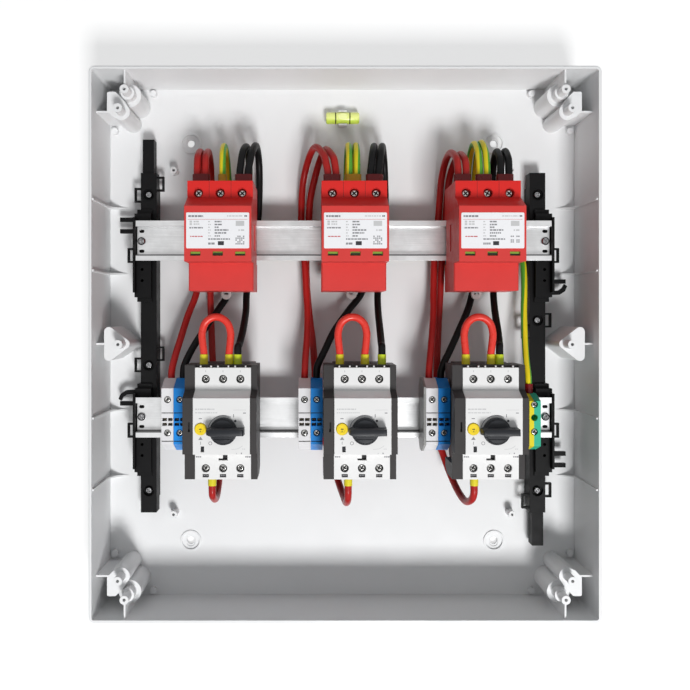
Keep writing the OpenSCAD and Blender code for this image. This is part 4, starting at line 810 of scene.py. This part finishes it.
# ---------------------------------------------------------------- arresters
LABEL_RISE = 2.4  # from the rail's centre line to the middle of a label
ARRESTER_SCREW_Y = 35
TEXT_ENDS = (3.0, 3.6, 1.4, 8.6, 7.0, 2.6)  # of the lines in a label's middle column


def arrester_print(i):
    """Plain bars and fields where the label carries its lines of print."""
    z = LABEL_FRONT
    place = shifted(on_rail(ARRESTERS[i], 0), 0, LABEL_RISE)
    grey, faint, red, dark = 0, 1, 2, 3
    bm = bmesh.new()
    # The head of the label, over a red line.
    box(bm, -23.8, 23.6, 8.7, 8.95, z, z + INK, place, red)
    bars(bm, place, z, 11.4, 1.5, words(-23.4, -11.6, 5 + i), grey)
    bars(bm, place, z, 11.5, 0.9, words(7.4, 20.4, 7 + i), faint)
    bars(bm, place, z, 11.5, 1.2, [(21.4, 22.3), (22.6, 23.4)], dark)
    # The left column.
    for k, y in enumerate((7.0, 5.0)):
        box(bm, -22.4, -20.4, y - 0.8, y + 0.8, z, z + INK, place, faint)
        bars(bm, place, z, y, 1.2, words(-19.2, -14.6, 3 * k + i), faint)
    bars(bm, place, z, 2.1, 1.1, words(-22.6, -11.8, 12 + i), grey)
    bars(bm, place, z, -4.8, 0.8, words(-22.0, -12.0, 4 + i), red)
    # The middle column.
    for k, y in enumerate((7.0, 4.7, 2.5, 0.3, -2.0, -4.4)):
        signs = [(-7.6, -6.6), (-6.2, -5.4)] if k % 2 else [(-7.6, -6.2)]
        bars(bm, place, z, y, 0.9, signs, faint)
        bars(bm, place, z, y, 1.2, words(-2.4, TEXT_ENDS[k], 2 * k + i), grey)
    bars(bm, place, z, -6.9, 1.1, words(-7.6, 9.8, 6 + i), grey)
    bars(bm, place, z, -10.5, 1.6, words(-7.6, -1.6, 8 + i), grey)
    box(bm, 0.2, 5.0, -11.8, -8.6, z, z + INK, place, dark)
    # The right column, with a field of small squares.
    box(bm, 14.4, 21.2, 3.6, 7.6, z, z + INK, place, faint)
    bars(bm, place, z, 0.2, 1.2, [(16.6, 17.6), (18.4, 21.2)], faint)
    step = 1.5
    for r in range(5):
        for c in range(5):
            if (r * 7 + c * 5 + r * c + i) % 3:
                box(bm, 14.2 + c * step, 15.3 + c * step, -5.2 - r * step, -4.2 - r * step,
                    z, z + INK, place, grey)
    return piece(f"label_marks_{i + 1}", bm,
                 ["print_grey", "print_faint", "print_red", "print_dark"], smooth=0)


def module_seams(i):
    """The fine joints between an arrester's plug-in modules, and the rings round its terminals."""
    at = on_rail(ARRESTERS[i], 0)
    z = ARRESTER_SHOULDER
    red, dark = 0, 1
    bm = bmesh.new()
    for x in (-POLE / 2, POLE / 2):
        box(bm, x - 0.12, x + 0.12, 31.6, 44.6, z, z + 0.05, at, dark)
    for x in (-POLE, 0, POLE):
        ribbon(bm, arc(x, ARRESTER_SCREW_Y, 3.95, 0, 360, 40), 0.3, z, at, red, 0.25)
    return piece(f"arrester_joints_{i + 1}", bm, ["red", "socket"])


# ---------------------------------------------------------------- screws, slots and grooves
SLOT_ROWS, SLOT_COLUMNS = (-2.8, -6.8), (-2.4, 2.4)


def screw_heads(name, spots, r, z0, height, socket_r, node):
    """Cross-head screws: a ring, four raised quarters, and painted shade: a dark cross between the
    quarters and a dark well.
    """
    bm = bmesh.new()
    steel, dark = 0, 1
    z1 = z0 + height
    cross = z0 + 0.5 * height
    arm = 0.17 * r
    reach = 0.74 * r
    edge = math.degrees(math.asin(arm / reach))
    for k, at in enumerate(spots):
        turn = 40 + (k * 47) % 31
        # Painted shade: a dark disc at the bottom of the well.
        lathe(bm, [(0, z0), (socket_r, z0), (socket_r, z0 + 0.1), (0, z0 + 0.1)], at, 32, dark)
        lathe(bm, [(0, z0 + 0.1), (r, z0 + 0.1), (r, z1 - 0.35), (0.86 * r, z1 - 0.05),
                   (0.72 * r, z1), (0.72 * r, cross), (0, cross)], at, 40, steel)
        # Painted shade: a dark disc in the cross between the quarters.
        lathe(bm, [(0, cross), (0.7 * r, cross), (0.7 * r, z0 + 0.55 * height),
                   (0, z0 + 0.55 * height)], at, 32, dark)
        for q in range(4):
            a = math.radians(turn + 90 * q)
            corners = [(arm, arm)] + arc(0, 0, reach, edge, 90 - edge, 6)
            outline = [(x * math.cos(a) - y * math.sin(a), x * math.sin(a) + y * math.cos(a))
                       for x, y in corners]
            prism(bm, outline, cross, z1, at, steel, 0.12, 1)
    return piece(name, bm, ["screw_highlight", "socket"], replaces=[node])


def block_places():
    """The grey and the blue block of each pair."""
    return [on_rail(x + side * BLOCK_SIDE, 1) for x in PAIRS for side in (-1, 1)]


def bridges():
    """Metal bridge contacts deep in the slots of the terminal blocks."""
    bm = bmesh.new()
    for at in block_places():
        for cx in SLOT_COLUMNS:
            for cy in SLOT_ROWS:
                y = BLOCK_RISE + cy
                box(bm, cx - 1.5, cx + 1.5, y - 0.35, y + 0.35, 20.5, 25.2, at, 0, 0.2)
    return piece("bridge_contacts", bm, ["bridge"])


def inlays():
    """Painted shade: dark sheets in the slots of breakers and terminal blocks, with grey print by
    the rating slots, and painted shadow in the arresters' windows.
    """
    bm = bmesh.new()
    socket, grey, flag = 0, 1, 2
    for x in BREAKERS:
        at = on_rail(x, 1)
        # Painted shade in the test key's slot.
        key_slot = [(-3.5, -26.7), (3.5, -26.7), (3.5, -22.5), (0, -22.5), (0, -25.3),
                    (-3.5, -25.3)]
        prism(bm, key_slot, 57.1, 57.4, at, socket)
        for p in BREAKER_TERMINALS:
            # Painted shade in the rating slots; the grey bars on it are print.
            box(bm, p - 2.4, p + 2.4, -40.2, -37.8, 59.02, 59.3, at, socket)
            marks = [(p - 1.7, p - 0.6), (p - 0.2, p + 0.6), (p + 1.0, p + 1.7)]
            bars(bm, at, 59.3, -39.0, 0.9, marks, grey)
        # Painted shade in the vent slot of the left strip.
        box(bm, -27.0, -25.8, -2.2, 5.0, 67.1, 67.6, at, socket)
    # Painted shadow: dark sheets over the lower part of the flags in the arresters' windows.
    for x in ARRESTERS:
        at = on_rail(x, 0)
        for p in (-POLE, POLE):
            box(bm, p - 3.7, p + 3.7, -17.4, -16.1, 60.05, 60.2, at, flag)
        box(bm, -3.7, 3.7, -17.4, -15.2, 60.05, 60.2, at, flag)
    for at in block_places():
        # Painted shade in the grooves across the terminal blocks.
        for y in (2.8, -21.0):
            y += BLOCK_RISE
            box(bm, -4.9, 4.9, y - 0.3, y + 0.3, 27.25, 27.5, at, socket)
        # Painted shade at the bottom of each slot, behind the bridge contacts.
        for cx in SLOT_COLUMNS:
            for cy in SLOT_ROWS:
                y = BLOCK_RISE + cy
                box(bm, cx - 1.9, cx + 1.9, y - 1.2, y + 1.2, 20.1, 20.4, at, socket)
    return piece("painted_slot_shade", bm, ["socket", "print_grey", "flag_painted_shadow"],
                 smooth=0)


for i in range(3):
    arrester_print(i)
    module_seams(i)
bridges()
inlays()
screw_heads("arrester_screw_heads",
            [shifted(on_rail(x, 0), p, ARRESTER_SCREW_Y)
             for x in ARRESTERS for p in (-POLE, 0, POLE)],
            r=2.9, z0=39.0, height=3.0, socket_r=3.6, node="arrester_screws")
screw_heads("breaker_screw_heads",
            [shifted(on_rail(x, 1), p, y) for x in BREAKERS for p in BREAKER_TERMINALS
             for y in BREAKER_SCREW_ROWS],
            r=2.45, z0=54.1, height=3.6, socket_r=3.2, node="breaker_screws")
screw_heads("terminal_screw_heads",
            [shifted(at, 0, BLOCK_RISE + y) for at in block_places() for y in (14, -14)]
            + [shifted(on_rail(EARTH_BLOCK, 1), -0.6, y) for y in (14.5, -8.5)],
            r=2.35, z0=24.55, height=2.6, socket_r=2.8, node="terminal_screws")


# ---------------------------------------------------------------- stage, light and camera
BACKDROP_Y = 0.0015  # just behind the wall plane of the box
FLOOR_Z = -2.3
BACKDROP_REACH, BACKDROP_TOP = 3, 3
FLOOR_REACH = 4
PAPER_LOW, PAPER_HIGH = (0.47, 0.47, 0.47), (0.49, 0.49, 0.49)
PAPER_GLOW = 0.60  # brings the paper up to white where a camera, mirror or glass ray sees it
AMBIENT_COLOUR, AMBIENT = (0.96, 0.98, 1.0), 0.35
LAMP_AT, LAMP_SIZE, LAMP_POWER = (0.42, -2.25, -1.42), 0.65, 62
LENS, SHIFT = 42.22, (0.0478, -0.0435)
CAMERA_AT = (-0.0277, -0.743, 0.0247)


def shown_rays(n):
    """1 for camera, mirror and glass rays, so that metal and glass show the pale background too."""
    path = n.add("ShaderNodeLightPath")
    direct = n.highest(path.outputs["Is Camera Ray"], path.outputs["Is Glossy Ray"])
    return path, n.highest(direct, path.outputs["Is Transmission Ray"])


def stage_material(name, two_sided):
    """Pale matt paper that reads as white to the camera and still takes the box's soft shadow.

    One-sided paper lets light through and is clear from behind, so the back of the box shows."""
    n = material_nodes(name)
    path, seen = shown_rays(n)
    paper = n.add("ShaderNodeBsdfDiffuse")
    cloud = n.span(n.noise(0.8, 2), 0, 1)
    n.link(n.mix(cloud, PAPER_LOW, PAPER_HIGH), paper.inputs["Color"])
    glow = n.add("ShaderNodeEmission")
    n.link(n.combine("MULTIPLY", seen, PAPER_GLOW).outputs["Value"], glow.inputs["Strength"])
    both = n.add("ShaderNodeAddShader")
    n.link(paper.outputs["BSDF"], both.inputs[0])
    n.link(glow.outputs["Emission"], both.inputs[1])
    if two_sided:
        return n.finish(both.outputs["Shader"])
    side = n.add("ShaderNodeNewGeometry")
    light = n.highest(path.outputs["Is Shadow Ray"], path.outputs["Is Diffuse Ray"])
    clear = n.add("ShaderNodeBsdfTransparent")
    choose = n.add("ShaderNodeMixShader")
    n.link(n.highest(side.outputs["Backfacing"], light), choose.inputs["Fac"])
    n.link(both.outputs["Shader"], choose.inputs[1])
    n.link(clear.outputs["BSDF"], choose.inputs[2])
    return n.finish(choose.outputs["Shader"])


def sheet(name, corners, mat):
    mesh = bpy.data.meshes.new(name)
    mesh.from_pydata([Vector(c) for c in corners], [], [(0, 1, 2, 3)])
    obj = bpy.data.objects.new(name, mesh)
    bpy.context.scene.collection.objects.link(obj)
    mesh.materials.append(mat)
    return obj


def corners(x, low, high):
    """A rectangle about x = 0, from low to high in its other direction."""
    return ((-x, low), (x, low), (x, high), (-x, high))


wall = sheet("backdrop",
             [(x, BACKDROP_Y, z) for x, z in corners(BACKDROP_REACH, FLOOR_Z, BACKDROP_TOP)],
             stage_material("backdrop_paper", two_sided=False))
floor = sheet("floor",
              [(x, y, FLOOR_Z) for x, y in corners(FLOOR_REACH, -FLOOR_REACH, FLOOR_REACH)],
              stage_material("floor_paper", two_sided=True))

lamp = bpy.data.lights.new("key_light", "AREA")
lamp.shape = "SQUARE"
lamp.size = LAMP_SIZE
lamp.energy = LAMP_POWER
key = bpy.data.objects.new("key_light", lamp)
key.location = LAMP_AT
key.rotation_euler = (-Vector(LAMP_AT)).to_track_quat("-Z", "Y").to_euler()
bpy.context.scene.collection.objects.link(key)


def background(n, colour, strength):
    node = n.add("ShaderNodeBackground")
    n.value(node, "Color", (*colour, 1))
    n.value(node, "Strength", strength)
    return node.outputs["Background"]


studio = Nodes(bpy.data.worlds.new("studio"), "ShaderNodeOutputWorld")
pick = studio.add("ShaderNodeMixShader")
studio.link(shown_rays(studio)[1], pick.inputs["Fac"])
studio.link(background(studio, AMBIENT_COLOUR, AMBIENT), pick.inputs[1])
studio.link(background(studio, (1, 1, 1), 1.0), pick.inputs[2])
bpy.context.scene.world = studio.finish(pick.outputs["Shader"])

camera = bpy.data.cameras.new("camera")
camera.sensor_width = 36
camera.lens = LENS
camera.shift_x, camera.shift_y = SHIFT
camera.clip_start = 0.01
eye = bpy.data.objects.new("camera", camera)
eye.location = CAMERA_AT
eye.rotation_euler = (math.radians(90), 0, 0)
bpy.context.scene.collection.objects.link(eye)
bpy.context.scene.camera = eye
bpy.context.scene.view_settings.view_transform = "Standard"
